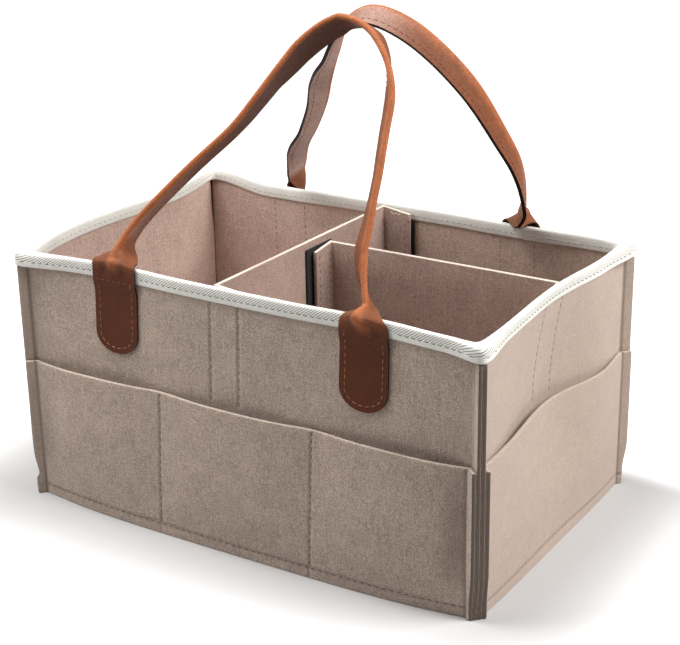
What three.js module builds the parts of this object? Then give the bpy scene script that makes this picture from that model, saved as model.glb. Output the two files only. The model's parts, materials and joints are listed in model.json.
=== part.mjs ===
// Felt storage caddy: an open box of sewn felt panels with outside pockets and a bound rim,
// two handles of folded leather strap, and two dividers held by hook-and-loop strips.
// Millimetres, +Z up, the front faces -Y, the origin is at the middle of the foot.
import * as THREE from 'three';

// Box
const BODY_LENGTH = 344; // inside corner to inside corner along the front
const BODY_DEPTH = 211; // inside corner to inside corner along an end
const BODY_HEIGHT = 182; // floor to the top of the bound rim
const FELT = 2.8; // thickness of every felt panel
const SEWN_GAP = 0.3; // clearance between pieces that are sewn or pressed together
const FIN_LENGTH = 11; // seam allowance that stands out at each corner, along the diagonal
const HEM_HEIGHT = 8; // floor to the seam of the walls, pockets and base

// How far the soft walls bow, outwards positive
const LONG_FOOT_BOW = 8.7; // front and rear walls at the floor
const END_FOOT_BOW = 1.1; // left and right walls at the floor
const FOOT_BOW_FADE = 1.5; // how fast that bow fades on the way up
const BOW_FULLNESS = 4; // how flat a bow is in the middle of its wall
const FRONT_RIM_BOW = -3;
const REAR_RIM_BOW = 1.4;
const RIGHT_RIM_BOW = 3;
const LEFT_RIM_SWAY = 8.5; // the left rim swings out near the front and in near the rear
const HANDLE_PULL = 2.5; // the handles draw the rim in at their tabs
const HANDLE_PULL_REACH = 30; // from a tab's edge to where the rim is straight again
const DIVIDER_PULL = 16; // the long divider draws the right wall in
const DIVIDER_PULL_Y = 2; // middle of that dent
const DIVIDER_PULL_TO_FRONT = 118; // the dent's length towards the front
const DIVIDER_PULL_TO_REAR = 74; // and towards the rear
const DIVIDER_PULL_OVERRUN = 25; // the dent would fade out this far above the rim

// Outside pockets
const POCKET_HEIGHT = 102.5;
const POCKET_SEAM_OFFSET = 60; // the two seams that part the three pockets of a long side
const POCKET_BELLY = 5.4; // how far a pocket stands off its wall between its seams
const POCKET_BELLY_RISE = 45; // height above the hem over which it swells
const POCKET_FULLNESS = 3; // how flat a pocket is between its seams
const END_POCKET_TAPER = 2.5; // the end pockets lie closer to the wall towards the corners

// Rim binding
const TAPE = 0.8; // thickness of the folded tape
const TAPE_GAP = 0.5; // clearance between the tape and the felt inside it
const TAPE_DROP = 10; // how far it comes down each face of the wall
const TAPE_CORNER_RUN = 14; // where it leaves the wall to go round a corner seam
const TAPE_INSIDE_CHAMFER = 4; // how it cuts across an inside corner
const TAPE_EDGE = 1.2; // roundness of its top edge
const TAPE_BROW = 0.25; // share of its width that each rounded edge takes

// Handles
const LEATHER = 2.2;
const STRAP_WIDTH = 35; // flat width, the same as the tabs
const HANDLE_MIDDLE = -2; // the handles sit this far along from the middle of the body
const TAB_OFFSET = 96.5; // middle of a handle to the middle of a tab
const TAB_LENGTH = 61; // rim to the lowest point of a tab
const TAB_ROUND = 14; // height of the rounded end
const TAB_TIP = 0.13; // how much of the rounding is cut straight at the very end
const TAB_SKIVE = 1.6; // the tab's top edge is pared on the outside
const TAB_STEP = 10; // height over which a tab climbs from the felt onto the tape
const HANDLE_RISE = 186; // rim to the top of the arch, along the strap's lean
const HANDLE_TOP_SPACING = 40; // between the spines of the two arches at the top
const STRAP_BEND = 0.7; // tape to the middle of the strap where it bends over, in thicknesses of leather
const STRAP_FOLD_RUN = 17; // length over which the flat strap folds lengthwise
const STRAP_FOLD_SLACK = 0.15; // half the space between the folded halves
const STRAP_FOLD_ANGLE = 2; // each half of the folded strap, degrees off the fold

// Dividers
const CROSS_FRONT_X = -21; // the cross divider runs slightly askew from front to rear
const CROSS_REAR_X = -14;
const CROSS_DROP = 1; // rim to the divider's top edge
const CROSS_FLANGE = 23;
const LONG_DIVIDER_Y = 25;
const LONG_DROP = 5.5; // rim to the divider's top edge
const LONG_LEFT_FLANGE = 20;
const LONG_RIGHT_FLANGE = 27;

// Hook-and-loop strips
const STRIP = 1;
const STRIP_WIDTH = 25;
const LIFT_GAP = 0.4; // clearance between a hook strip and its loop strip
const STRIP_FOOT = 18; // floor to the lower ends of the strips
const STRIP_TOP_DROP = 11; // rim to the upper ends of the strips on the walls
const RIGHT_STRIP_Y = 4;
const DIVIDER_STRIP_Y = 16.6;
const DIVIDER_STRIP_WIDTH = 28;
const DIVIDER_STRIP_DROP = 6; // rim to the upper end of the strip on the cross divider
const HOOK_INSET = 1.5; // flange edge to hook strip edge

// How finely the curved pieces are divided
const LONG_WALL_STEPS = 2;
const END_WALL_STEPS = 16;
const POCKET_STEPS = 6;
const POCKET_ROWS = 6;
const UPPER_ROWS = 4;
const STRIP_ROWS = 8;
const SEARCH_ROWS = 32;
const STRIP_STEPS = 4;
const NECK_STEPS = 6;
const STRAP_STEPS = 38;
const TAB_STEPS = 4;
const TAB_ROUND_STEPS = 5;

const COLOURS = { felt: 0x9b897d, tape: 0xd6d2c6, leather: 0x7a4329, strip: 0x191918 };
const ROUGHNESS = { felt: 0.95, tape: 0.85, leather: 0.45, strip: 0.9 };

const caddy = new THREE.Group();
const baseTop = HEM_HEIGHT + FELT;
const tapeFoot = BODY_HEIGHT - TAPE_DROP;
const panelTop = BODY_HEIGHT - TAPE - TAPE_GAP;

function addPart(name, finish, geometry, parent = caddy) {
  const looks = { color: COLOURS[finish], roughness: ROUGHNESS[finish], metalness: 0 };
  const material = new THREE.MeshStandardMaterial(looks);
  const mesh = new THREE.Mesh(geometry, material);
  mesh.name = name;
  parent.add(mesh);
}

// Evenly spaced values from the first edge to the last, with every edge among them
function stops(edges, steps) {
  const values = [edges[0]];
  for (let i = 1; i < edges.length; i += 1) {
    for (let k = 1; k <= steps; k += 1) {
      values.push(THREE.MathUtils.lerp(edges[i - 1], edges[i], k / steps));
    }
  }
  return values;
}

function solid(points, triangles) {
  const geometry = new THREE.BufferGeometry();
  const numbers = points.flatMap((p) => [p.x, p.y, p.z]);
  geometry.setAttribute('position', new THREE.Float32BufferAttribute(numbers, 3));
  geometry.setIndex(triangles);
  geometry.computeVertexNormals();
  return geometry;
}

// Closed sheet between two grids of points: rows run up, columns run along, the outer grid faces out
function sheet(inner, outer) {
  const rows = inner.length;
  const columns = inner[0].length;
  const points = [...inner.flat(), ...outer.flat()];
  const triangles = [];
  const quad = (a, b, c, d) => triangles.push(a, b, c, a, c, d);
  const back = (r, c) => r * columns + c;
  const face = (r, c) => rows * columns + back(r, c);
  const top = rows - 1;
  const end = columns - 1;
  for (let r = 0; r < top; r += 1) {
    for (let c = 0; c < end; c += 1) {
      quad(face(r, c), face(r, c + 1), face(r + 1, c + 1), face(r + 1, c));
      quad(back(r, c), back(r + 1, c), back(r + 1, c + 1), back(r, c + 1));
    }
    quad(face(r, 0), face(r + 1, 0), back(r + 1, 0), back(r, 0));
    quad(face(r + 1, end), face(r, end), back(r, end), back(r + 1, end));
  }
  for (let c = 0; c < end; c += 1) {
    quad(face(0, c + 1), face(0, c), back(0, c), back(0, c + 1));
    quad(face(top, c), face(top, c + 1), back(top, c + 1), back(top, c));
  }
  return solid(points, triangles);
}

// Skin over a row of closed rings that all have the same number of points
function skin(rings, closed) {
  const size = rings[0].length;
  const triangles = [];
  const bands = closed ? rings.length : rings.length - 1;
  for (let i = 0; i < bands; i += 1) {
    const here = i * size;
    const next = ((i + 1) % rings.length) * size;
    for (let k = 0; k < size; k += 1) {
      const turn = (k + 1) % size;
      triangles.push(here + k, here + turn, next + turn, here + k, next + turn, next + k);
    }
  }
  return triangles;
}

// The same skin with its two ends filled; the outlines give the flat shape of each end ring
function loft(rings, startOutline, endOutline) {
  const triangles = skin(rings, false);
  const last = (rings.length - 1) * rings[0].length;
  const start = THREE.ShapeUtils.triangulateShape(startOutline, []);
  const end = THREE.ShapeUtils.triangulateShape(endOutline, []);
  start.forEach(([a, b, c]) => triangles.push(c, b, a));
  end.forEach(([a, b, c]) => triangles.push(last + a, last + b, last + c));
  return solid(rings.flat(), triangles);
}

// Sides of the box: each runs along one way, faces out another, and bows by its own amounts
const halfLength = BODY_LENGTH / 2;
const halfDepth = BODY_DEPTH / 2;
const pullEdges = [STRAP_WIDTH / 2, STRAP_WIDTH / 2 + HANDLE_PULL_REACH];
const tabPull = (at) => ({
  at,
  depth: HANDLE_PULL,
  flat: STRAP_WIDTH / 2,
  before: HANDLE_PULL_REACH,
  after: HANDLE_PULL_REACH,
  swell: (z) => (z / BODY_HEIGHT) ** 2,
});
const dividerPull = {
  at: DIVIDER_PULL_Y,
  depth: DIVIDER_PULL,
  flat: 0,
  before: DIVIDER_PULL_TO_FRONT,
  after: DIVIDER_PULL_TO_REAR,
  swell: (z) => Math.sin((Math.PI * z) / (BODY_HEIGHT + DIVIDER_PULL_OVERRUN)),
};

function makeSide(along, out, bows) {
  const long = Math.abs(along[0]) === 1;
  const span = long ? halfLength : halfDepth;
  const tabs = long ? [-TAB_OFFSET, TAB_OFFSET].map((at) => at + along[0] * HANDLE_MIDDLE) : [];
  const bends = tabs.flatMap((at) => [
    at - pullEdges[1], at - pullEdges[0], at + pullEdges[0], at + pullEdges[1],
  ]);
  const stations = stops([-span, ...bends, span], long ? LONG_WALL_STEPS : END_WALL_STEPS);
  return {
    along,
    out,
    span,
    stations: stations.slice(1, -1),
    reach: long ? halfDepth : halfLength,
    footBow: long ? LONG_FOOT_BOW : END_FOOT_BOW,
    rimBow: 0,
    rimSway: 0,
    pocketTaper: long ? 1 : END_POCKET_TAPER,
    tabs,
    pulls: tabs.map(tabPull),
    ...bows,
  };
}

const front = makeSide([1, 0], [0, -1], { rimBow: FRONT_RIM_BOW });
const right = makeSide([0, 1], [1, 0], { rimBow: RIGHT_RIM_BOW, pulls: [dividerPull] });
const rear = makeSide([-1, 0], [0, 1], { rimBow: REAR_RIM_BOW });
const left = makeSide([0, -1], [-1, 0], { rimSway: LEFT_RIM_SWAY });
const around = [front, right, rear, left];

function pullDepth(pull, u, z) {
  const away = Math.abs(u - pull.at) - pull.flat;
  const share = Math.max(0, away) / (u < pull.at ? pull.before : pull.after);
  return share < 1 ? pull.depth * Math.cos((Math.PI / 2) * share) ** 2 * pull.swell(z) : 0;
}

// Distance from the middle of the body to a wall's inside face
function inside(side, u, z) {
  const v = u / side.span;
  const rise = z / BODY_HEIGHT;
  const fullness = 1 - v ** BOW_FULLNESS;
  const foot = side.footBow * fullness * Math.max(0, 1 - rise) ** FOOT_BOW_FADE;
  const rim = (side.rimBow * fullness + side.rimSway * Math.sin(Math.PI * v)) * rise;
  const pulled = side.pulls.reduce((sum, pull) => sum + pullDepth(pull, u, z), 0);
  return side.reach + foot + rim - pulled;
}

function place(side, u, distance, z) {
  const x = side.along[0] * u + side.out[0] * distance;
  const y = side.along[1] * u + side.out[1] * distance;
  return new THREE.Vector3(x, y, z);
}

// Felt panels lie in layers, the wall first and the pocket over it, and turn out at each corner
// into a fin, where the panels of two sides are sewn face to face
const layerStep = FELT + SEWN_GAP;

function finCorner(side, seam) {
  const along = side.span + (FIN_LENGTH - seam) / Math.SQRT2;
  const distance = side.reach + (FIN_LENGTH + seam) / Math.SQRT2;
  return { along, distance };
}

function panelRow(side, z, layer, face, stations, belly) {
  const across = layer * layerStep + face * FELT;
  const seam = SEWN_GAP / 2 + across;
  const crease = side.span + across - Math.SQRT2 * seam;
  const tip = finCorner(side, seam);
  const run = [-crease, ...stations, crease].map((u) => {
    return place(side, u, inside(side, u, z) + across + belly(u, z), z);
  });
  return [place(side, -tip.along, tip.distance, z), ...run, place(side, tip.along, tip.distance, z)];
}

function panel(side, layer, levels, stations, belly) {
  const grid = (face) => levels.map((z) => panelRow(side, z, layer, face, stations, belly));
  return sheet(grid(0), grid(1));
}

const pocketLevels = [0, ...stops([HEM_HEIGHT, POCKET_HEIGHT], POCKET_ROWS)];
const wallLevels = [...pocketLevels, ...stops([POCKET_HEIGHT, tapeFoot], UPPER_ROWS).slice(1), panelTop];

function wall(side) {
  return panel(side, 0, wallLevels, side.stations, () => 0);
}

// A pocket is flat at its seams and hem, and stands off the wall between them
function pocketBelly(edges, taper, u, z) {
  const next = Math.max(1, edges.findIndex((edge) => u <= edge));
  const middle = (edges[next - 1] + edges[next]) / 2;
  const share = (u - middle) / (edges[next] - middle);
  const climb = THREE.MathUtils.clamp((z - HEM_HEIGHT) / POCKET_BELLY_RISE, 0, 1);
  const fullness = (1 - Math.min(1, Math.abs(share)) ** POCKET_FULLNESS) ** taper;
  return POCKET_BELLY * fullness * Math.sin((Math.PI / 2) * climb);
}

function pocket(side, seams, stations) {
  const edges = [-side.span, ...seams, side.span];
  return panel(side, 1, pocketLevels, stations, (u, z) => pocketBelly(edges, side.pocketTaper, u, z));
}

const pocketSeams = [-POCKET_SEAM_OFFSET, POCKET_SEAM_OFFSET];
const pocketStations = stops([-halfLength, ...pocketSeams, halfLength], POCKET_STEPS).slice(1, -1);
addPart('front_wall', 'felt', wall(front));
addPart('right_wall', 'felt', wall(right));
addPart('rear_wall', 'felt', wall(rear));
addPart('left_wall', 'felt', wall(left));
addPart('front_pocket_panel', 'felt', pocket(front, pocketSeams, pocketStations));
addPart('right_pocket_panel', 'felt', pocket(right, [], right.stations));
addPart('rear_pocket_panel', 'felt', pocket(rear, pocketSeams, pocketStations));
addPart('left_pocket_panel', 'felt', pocket(left, [], left.stations));

// Base: a felt floor whose edges turn down inside the walls to the hem
function baseRing(z, inset) {
  const ring = [];
  around.forEach((side) => {
    ring.push(place(side, inset - side.span, side.reach - inset, z));
    side.stations.forEach((u) => ring.push(place(side, u, inside(side, u, z) - inset, z)));
  });
  return ring;
}

function base() {
  const flat = (ring) => ring.map((p) => new THREE.Vector2(p.x, p.y));
  const underside = baseRing(baseTop - FELT, SEWN_GAP + FELT);
  const floor = baseRing(baseTop, SEWN_GAP);
  const rings = [underside, baseRing(0, SEWN_GAP + FELT), baseRing(0, SEWN_GAP), floor];
  return loft(rings, flat(underside), flat(floor));
}
addPart('base_panel', 'felt', base());

// Rim binding: one tape folded over the rim, all the way round, with the corner seams inside it.
// A profile is drawn from the place of the tape's inside and outside legs at a depth and a height
function tapeProfile(insideLeg, outsideLeg) {
  const cover = TAPE_GAP + TAPE;
  const roof = BODY_HEIGHT - TAPE;
  const shoulder = BODY_HEIGHT - TAPE_EDGE;
  const brow = (share) => insideLeg(cover, BODY_HEIGHT).lerp(outsideLeg(cover, BODY_HEIGHT), share);
  return [
    insideLeg(cover, tapeFoot),
    insideLeg(cover, shoulder),
    brow(TAPE_BROW),
    brow(1 - TAPE_BROW),
    outsideLeg(cover, shoulder),
    outsideLeg(cover, tapeFoot),
    outsideLeg(TAPE_GAP, tapeFoot),
    outsideLeg(TAPE_GAP, roof),
    insideLeg(TAPE_GAP, roof),
    insideLeg(TAPE_GAP, tapeFoot),
  ];
}

function tapeAlong(side, u) {
  return tapeProfile(
    (depth, z) => place(side, u, inside(side, u, z) - depth, z),
    (depth, z) => place(side, u, inside(side, u, z) + FELT + depth, z),
  );
}

// Round one end of a side: the inside leg cuts the corner, the outside leg meets the fin
function tapeRound(side, end) {
  const u = end * (side.span - TAPE_INSIDE_CHAMFER);
  const corner = finCorner(side, SEWN_GAP / 2 + FELT);
  return tapeProfile(
    (depth, z) => place(side, u, inside(side, u, z) - depth, z),
    (depth, z) => place(side, end * corner.along, corner.distance + depth * Math.SQRT2, z),
  );
}

function binding() {
  const rings = [];
  around.forEach((side) => {
    const run = side.stations.filter((u) => Math.abs(u) <= side.span - TAPE_CORNER_RUN);
    rings.push(tapeRound(side, -1));
    run.forEach((u) => rings.push(tapeAlong(side, u)));
    rings.push(tapeRound(side, 1));
  });
  return solid(rings.flat(), skin(rings, true));
}
addPart('rim_binding', 'tape', binding());

// Handle tabs: the flat ends of the straps, sewn to the wall and over the tape
const tapeFace = FELT + TAPE_GAP + TAPE; // inside face of the wall to the outside of the tape
const strapOffset = tapeFace + SEWN_GAP + STRAP_BEND * LEATHER; // and to the middle of the leather
const tabTop = BODY_HEIGHT - LEATHER / 2 - 2 * SEWN_GAP;
const tabFoot = BODY_HEIGHT - TAB_LENGTH;

function tab(side, middle) {
  const rounded = stops([TAB_TIP, 1], TAB_ROUND_STEPS).map((share) => {
    const angle = (share * Math.PI) / 2;
    return { z: tabFoot + TAB_ROUND * (1 - Math.cos(angle)), half: (STRAP_WIDTH / 2) * Math.sin(angle) };
  });
  const step = tapeFoot - SEWN_GAP;
  const levels = [step - TAB_STEP, step - TAB_STEP / 2, step, tabTop];
  const straight = levels.map((z) => ({ z, half: STRAP_WIDTH / 2 }));
  const climb = (z) => THREE.MathUtils.smoothstep(z, step - TAB_STEP, step);
  const grid = (face) => [...rounded, ...straight].map(({ z, half }) => {
    const back = THREE.MathUtils.lerp(FELT + SEWN_GAP, strapOffset - LEATHER / 2, climb(z));
    const pared = z === tabTop ? face * TAB_SKIVE : 0;
    return stops([-half, half], TAB_STEPS).map((across) => {
      const u = middle + across;
      return place(side, u, inside(side, u, z) + back + face * LEATHER, z - pared);
    });
  });
  return sheet(grid(0), grid(1));
}
addPart('front_left_tab', 'leather', tab(front, front.tabs[0]));
addPart('front_right_tab', 'leather', tab(front, front.tabs[1]));
addPart('rear_left_tab', 'leather', tab(rear, rear.tabs[1]));
addPart('rear_right_tab', 'leather', tab(rear, rear.tabs[0]));

// Handles: a strap that leaves its tabs flat and level, folds lengthwise and arches over. Each arch is a
// list of points, seen from the front: shares of the tab offset and of the rise, and the degrees by which
// the folded strap is turned to the left there
const FRONT_ARCH = [
  [-1, 0, 0], [-1, 0.04, 8], [-0.98, 0.12, 22], [-0.83, 0.25, 20], [-0.46, 0.47, 14], [-0.1, 0.74, 4],
  [0.1, 0.92, 0], [0.34, 1, 0], [0.6, 0.94, 10], [0.78, 0.78, 22], [0.84, 0.5, 28], [0.91, 0.18, 30],
  [0.98, 0.05, 12], [1, 0, 0],
];
const REAR_ARCH = [
  [-1, 0, 0], [-0.97, 0.05, 4], [-0.86, 0.14, 8], [-0.67, 0.3, 9], [-0.4, 0.48, 9], [-0.16, 0.74, 6],
  [0.1, 0.94, 0], [0.33, 1, 0], [0.6, 0.95, 0], [0.92, 0.74, 0], [1.08, 0.48, -6], [1.13, 0.33, -12],
  [1.08, 0.14, -26], [1.01, 0.05, -12], [1, 0, 0],
];

const ORIGIN = new THREE.Vector2(0, 0);

// The turn listed for an arch, in radians, at a share of the way through its list
function turnAt(arch, share) {
  const index = share * (arch.length - 1);
  const before = Math.min(Math.floor(index), arch.length - 2);
  const turn = THREE.MathUtils.lerp(arch[before][2], arch[before + 1][2], index - before);
  return THREE.MathUtils.degToRad(turn);
}

// Cross section of the strap: across it and outwards, flat at a right angle and folded shut near zero
function strapSection(angle) {
  const half = LEATHER / 2;
  const bend = (half + STRAP_FOLD_SLACK) * Math.cos(angle);
  const leaf = new THREE.Vector2(Math.sin(angle), -Math.cos(angle));
  const normal = new THREE.Vector2(Math.cos(angle), Math.sin(angle));
  const point = (run, lift, mirror) => {
    const p = new THREE.Vector2(bend, 0).addScaledVector(leaf, run).addScaledVector(normal, lift);
    return new THREE.Vector2(mirror * p.x, p.y);
  };
  const length = STRAP_WIDTH / 2;
  const root = half / 2;
  return [
    point(length, half, 1),
    point(root, half, 1),
    new THREE.Vector2(0, half),
    point(root, half, -1),
    point(length, half, -1),
    point(length, -half, -1),
    point(LEATHER, -half, -1),
    point(LEATHER, -half, 1),
    point(length, -half, 1),
  ];
}

function strap(arch, outward) {
  const points = arch.map(([x, z]) => new THREE.Vector3(x * TAB_OFFSET, 0, z * HANDLE_RISE));
  const curve = new THREE.CatmullRomCurve3(points);
  const length = curve.getLength();
  const neck = STRAP_FOLD_RUN / length;
  const shares = [
    ...stops([0, neck], NECK_STEPS),
    ...stops([neck, 1 - neck], STRAP_STEPS).slice(1, -1),
    ...stops([1 - neck, 1], NECK_STEPS),
  ];
  const shut = THREE.MathUtils.degToRad(STRAP_FOLD_ANGLE);
  const sections = [];
  const rings = shares.map((share) => {
    const fromEnd = Math.min(share, 1 - share) * length;
    const folded = THREE.MathUtils.smoothstep(fromEnd, 0, STRAP_FOLD_RUN);
    const centre = curve.getPointAt(share);
    const along = curve.getTangentAt(share);
    const climb = Math.sign(along.z);
    const turn = -climb * outward * turnAt(arch, curve.getUtoTmapping(share));
    const flat = strapSection(THREE.MathUtils.lerp(Math.PI / 2, shut, folded));
    const section = flat.map((p) => p.rotateAround(ORIGIN, turn));
    const square = new THREE.Vector3(along.z, 0, -along.x).multiplyScalar(outward);
    const level = new THREE.Vector3(climb * outward, 0, 0);
    const across = level.lerp(square, folded).normalize();
    const out = new THREE.Vector3(0, outward, 0);
    sections.push(section);
    return section.map((p) => centre.clone().addScaledVector(across, p.x).addScaledVector(out, p.y));
  });
  return loft(rings, sections[0], sections[sections.length - 1]);
}

// Each handle turns about the line where its strap bends over the rim, and leans in over the box
function handle(name, side, arch) {
  const hinge = inside(side, side.tabs[0], BODY_HEIGHT) + strapOffset;
  const outward = side.out[1];
  const lean = Math.asin((hinge - HANDLE_TOP_SPACING / 2) / HANDLE_RISE);
  const group = new THREE.Group();
  group.position.copy(place(side, side.along[0] * HANDLE_MIDDLE, hinge, BODY_HEIGHT));
  group.rotation.x = outward * lean;
  addPart(name, 'leather', strap(arch, outward), group);
  caddy.add(group);
}
handle('front_handle_strap', front, FRONT_ARCH);
handle('rear_handle_strap', rear, REAR_ARCH);

// Folded felt sheet whose plan is a line of points, with mitred corners
function foldedPanel(planAt, levels) {
  const offset = (plan, amount) => plan.map((p, i) => {
    const before = i > 0 ? p.clone().sub(plan[i - 1]).normalize() : null;
    const after = i < plan.length - 1 ? plan[i + 1].clone().sub(p).normalize() : null;
    const normal = (way) => new THREE.Vector2(way.y, -way.x);
    const first = normal(before ?? after);
    const mitre = first.clone().add(normal(after ?? before)).normalize();
    return p.clone().addScaledVector(mitre, amount / mitre.dot(first));
  });
  const row = (amount, z) => offset(planAt(z), amount).map((p) => new THREE.Vector3(p.x, p.y, z));
  const grid = (amount) => levels.map((z) => row(amount, z));
  return sheet(grid(-FELT / 2), grid(FELT / 2));
}

// Least distance from the middle of the body to a wall's inside, from a height up to the rim
function narrowest(side, fromU, toU, fromZ) {
  let least = Infinity;
  stops([fromZ, BODY_HEIGHT], SEARCH_ROWS).forEach((z) => {
    stops([fromU, toU], STRIP_STEPS).forEach((u) => {
      least = Math.min(least, inside(side, u, z));
    });
  });
  return least;
}

// From a wall's inside face to the middle of a flange: loop strip, hook strip, half the felt
const hookFace = Math.max(SEWN_GAP + STRIP, TAPE_GAP + TAPE) + LIFT_GAP;
const flangeDepth = hookFace + STRIP + SEWN_GAP + FELT / 2;
const dividerFoot = baseTop + SEWN_GAP;
const stripTop = BODY_HEIGHT - STRIP_TOP_DROP;

const crossFront = narrowest(front, CROSS_FRONT_X, CROSS_FRONT_X + CROSS_FLANGE, 0) - flangeDepth;
const crossRear = narrowest(rear, -CROSS_REAR_X - CROSS_FLANGE, -CROSS_REAR_X, 0) - flangeDepth;
const crossPlan = [
  new THREE.Vector2(CROSS_FRONT_X + CROSS_FLANGE, -crossFront),
  new THREE.Vector2(CROSS_FRONT_X, -crossFront),
  new THREE.Vector2(CROSS_REAR_X, crossRear),
  new THREE.Vector2(CROSS_REAR_X + CROSS_FLANGE, crossRear),
];
addPart('cross_divider', 'felt', foldedPanel(() => crossPlan, [dividerFoot, BODY_HEIGHT - CROSS_DROP]));

// The long divider's left flange lies along the cross divider, its right flange follows the right wall
const crossWay = crossPlan[2].clone().sub(crossPlan[1]).normalize();
const crossNormal = new THREE.Vector2(crossWay.y, -crossWay.x);
const besideCross = (y, depth) => {
  const p = crossPlan[1].clone().addScaledVector(crossNormal, depth);
  return p.addScaledVector(crossWay, (y - p.y) / crossWay.y);
};
const longRight = (z) => {
  return narrowest(right, LONG_DIVIDER_Y - LONG_RIGHT_FLANGE, LONG_DIVIDER_Y, z) - flangeDepth;
};
const leftFold = besideCross(LONG_DIVIDER_Y, FELT / 2 + flangeDepth);
const longPlan = (z) => [
  leftFold.clone().addScaledVector(crossWay, -LONG_LEFT_FLANGE),
  leftFold,
  new THREE.Vector2(longRight(z), LONG_DIVIDER_Y),
  new THREE.Vector2(longRight(z), LONG_DIVIDER_Y - LONG_RIGHT_FLANGE),
];
const longLevels = stops([dividerFoot, BODY_HEIGHT - LONG_DROP], STRIP_ROWS);
addPart('long_divider', 'felt', foldedPanel(longPlan, longLevels));

// Loop strips on the walls follow the felt behind them
function wallStrip(side, middle) {
  const grid = (depth) => stops([STRIP_FOOT, stripTop], STRIP_ROWS).map((z) => {
    return stops([middle - STRIP_WIDTH / 2, middle + STRIP_WIDTH / 2], STRIP_STEPS).map((u) => {
      return place(side, u, inside(side, u, z) - depth, z);
    });
  });
  return sheet(grid(SEWN_GAP + STRIP), grid(SEWN_GAP));
}
addPart('front_loop_strip', 'strip', wallStrip(front, CROSS_FRONT_X + CROSS_FLANGE / 2));
addPart('rear_loop_strip', 'strip', wallStrip(rear, -CROSS_REAR_X - CROSS_FLANGE / 2));
addPart('right_loop_strip', 'strip', wallStrip(right, RIGHT_STRIP_Y));

// Flat strips between two plan lines, from the strips' foot up
function planStrip(top, lineAt) {
  const rows = stops([STRIP_FOOT, top], STRIP_ROWS);
  const grid = (depth) => rows.map((z) => lineAt(depth, z).map((p) => new THREE.Vector3(p.x, p.y, z)));
  return sheet(grid(0), grid(STRIP));
}

const dividerStripEnds = [-0.5, 0.5].map((share) => DIVIDER_STRIP_Y + share * DIVIDER_STRIP_WIDTH);
const onCross = FELT / 2 + SEWN_GAP;
addPart('divider_loop_strip', 'strip', planStrip(BODY_HEIGHT - DIVIDER_STRIP_DROP, (depth) => {
  return dividerStripEnds.map((y) => besideCross(y, onCross + depth));
}));

const onFlange = FELT / 2 + SEWN_GAP;
const hookFrom = HOOK_INSET;
const hookTo = CROSS_FLANGE - HOOK_INSET;
addPart('cross_front_hook_strip', 'strip', planStrip(stripTop, (depth) => {
  const y = -crossFront - onFlange - depth;
  return [hookFrom, hookTo].map((run) => new THREE.Vector2(CROSS_FRONT_X + run, y));
}));
addPart('cross_rear_hook_strip', 'strip', planStrip(stripTop, (depth) => {
  const y = crossRear + onFlange + depth;
  return [hookTo, hookFrom].map((run) => new THREE.Vector2(CROSS_REAR_X + run, y));
}));
addPart('long_left_hook_strip', 'strip', planStrip(stripTop, (depth) => {
  const face = leftFold.clone().addScaledVector(crossNormal, -onFlange - depth);
  const runs = [HOOK_INSET, LONG_LEFT_FLANGE - HOOK_INSET];
  return runs.map((run) => face.clone().addScaledVector(crossWay, -run));
}));
addPart('long_right_hook_strip', 'strip', planStrip(stripTop, (depth, z) => {
  const x = longRight(z) + onFlange + depth;
  const runs = [LONG_RIGHT_FLANGE - HOOK_INSET, HOOK_INSET];
  return runs.map((run) => new THREE.Vector2(x, LONG_DIVIDER_Y - run));
}));

// Stand the caddy on the floor with the middle of its outline over the origin
const extent = new THREE.Box3().setFromObject(caddy);
const middle = extent.getCenter(new THREE.Vector3());
caddy.position.set(-middle.x, -middle.y, -extent.min.z);

export default caddy;
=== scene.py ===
"""Dresses the felt storage caddy: felt, rim tape, leather handles, dividers, sewing and a studio."""
import json
import math

import bpy
from bpy.props import FloatProperty, FloatVectorProperty, PointerProperty
from mathutils import Matrix, Vector


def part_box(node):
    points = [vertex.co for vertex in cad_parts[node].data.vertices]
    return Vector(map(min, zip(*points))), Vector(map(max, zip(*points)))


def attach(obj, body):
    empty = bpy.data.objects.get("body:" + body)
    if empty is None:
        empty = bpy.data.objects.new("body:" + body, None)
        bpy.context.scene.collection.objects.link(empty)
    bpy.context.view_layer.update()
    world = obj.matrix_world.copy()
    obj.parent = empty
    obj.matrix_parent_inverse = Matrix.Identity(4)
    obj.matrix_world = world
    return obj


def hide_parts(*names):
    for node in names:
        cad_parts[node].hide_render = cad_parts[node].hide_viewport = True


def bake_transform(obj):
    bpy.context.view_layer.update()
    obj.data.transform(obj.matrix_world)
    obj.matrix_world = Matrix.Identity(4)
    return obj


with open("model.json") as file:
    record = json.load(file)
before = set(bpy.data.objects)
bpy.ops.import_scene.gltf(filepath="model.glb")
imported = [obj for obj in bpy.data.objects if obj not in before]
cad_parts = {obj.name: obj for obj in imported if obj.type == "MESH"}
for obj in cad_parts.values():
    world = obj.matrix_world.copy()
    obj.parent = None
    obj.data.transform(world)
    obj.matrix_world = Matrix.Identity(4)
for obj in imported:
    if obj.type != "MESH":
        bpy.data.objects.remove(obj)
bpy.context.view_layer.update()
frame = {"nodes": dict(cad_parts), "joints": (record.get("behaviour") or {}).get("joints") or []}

bl_info = {
    "name": "Felt storage caddy",
    "version": (1, 0, 0),
    "blender": (4, 5, 0),
    "location": "View3D > Sidebar > Caddy",
    "description": "Models the felt, tape, leather and sewing of a storage caddy on its packed frame",
    "category": "Object",
}

MM = 0.001

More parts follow.
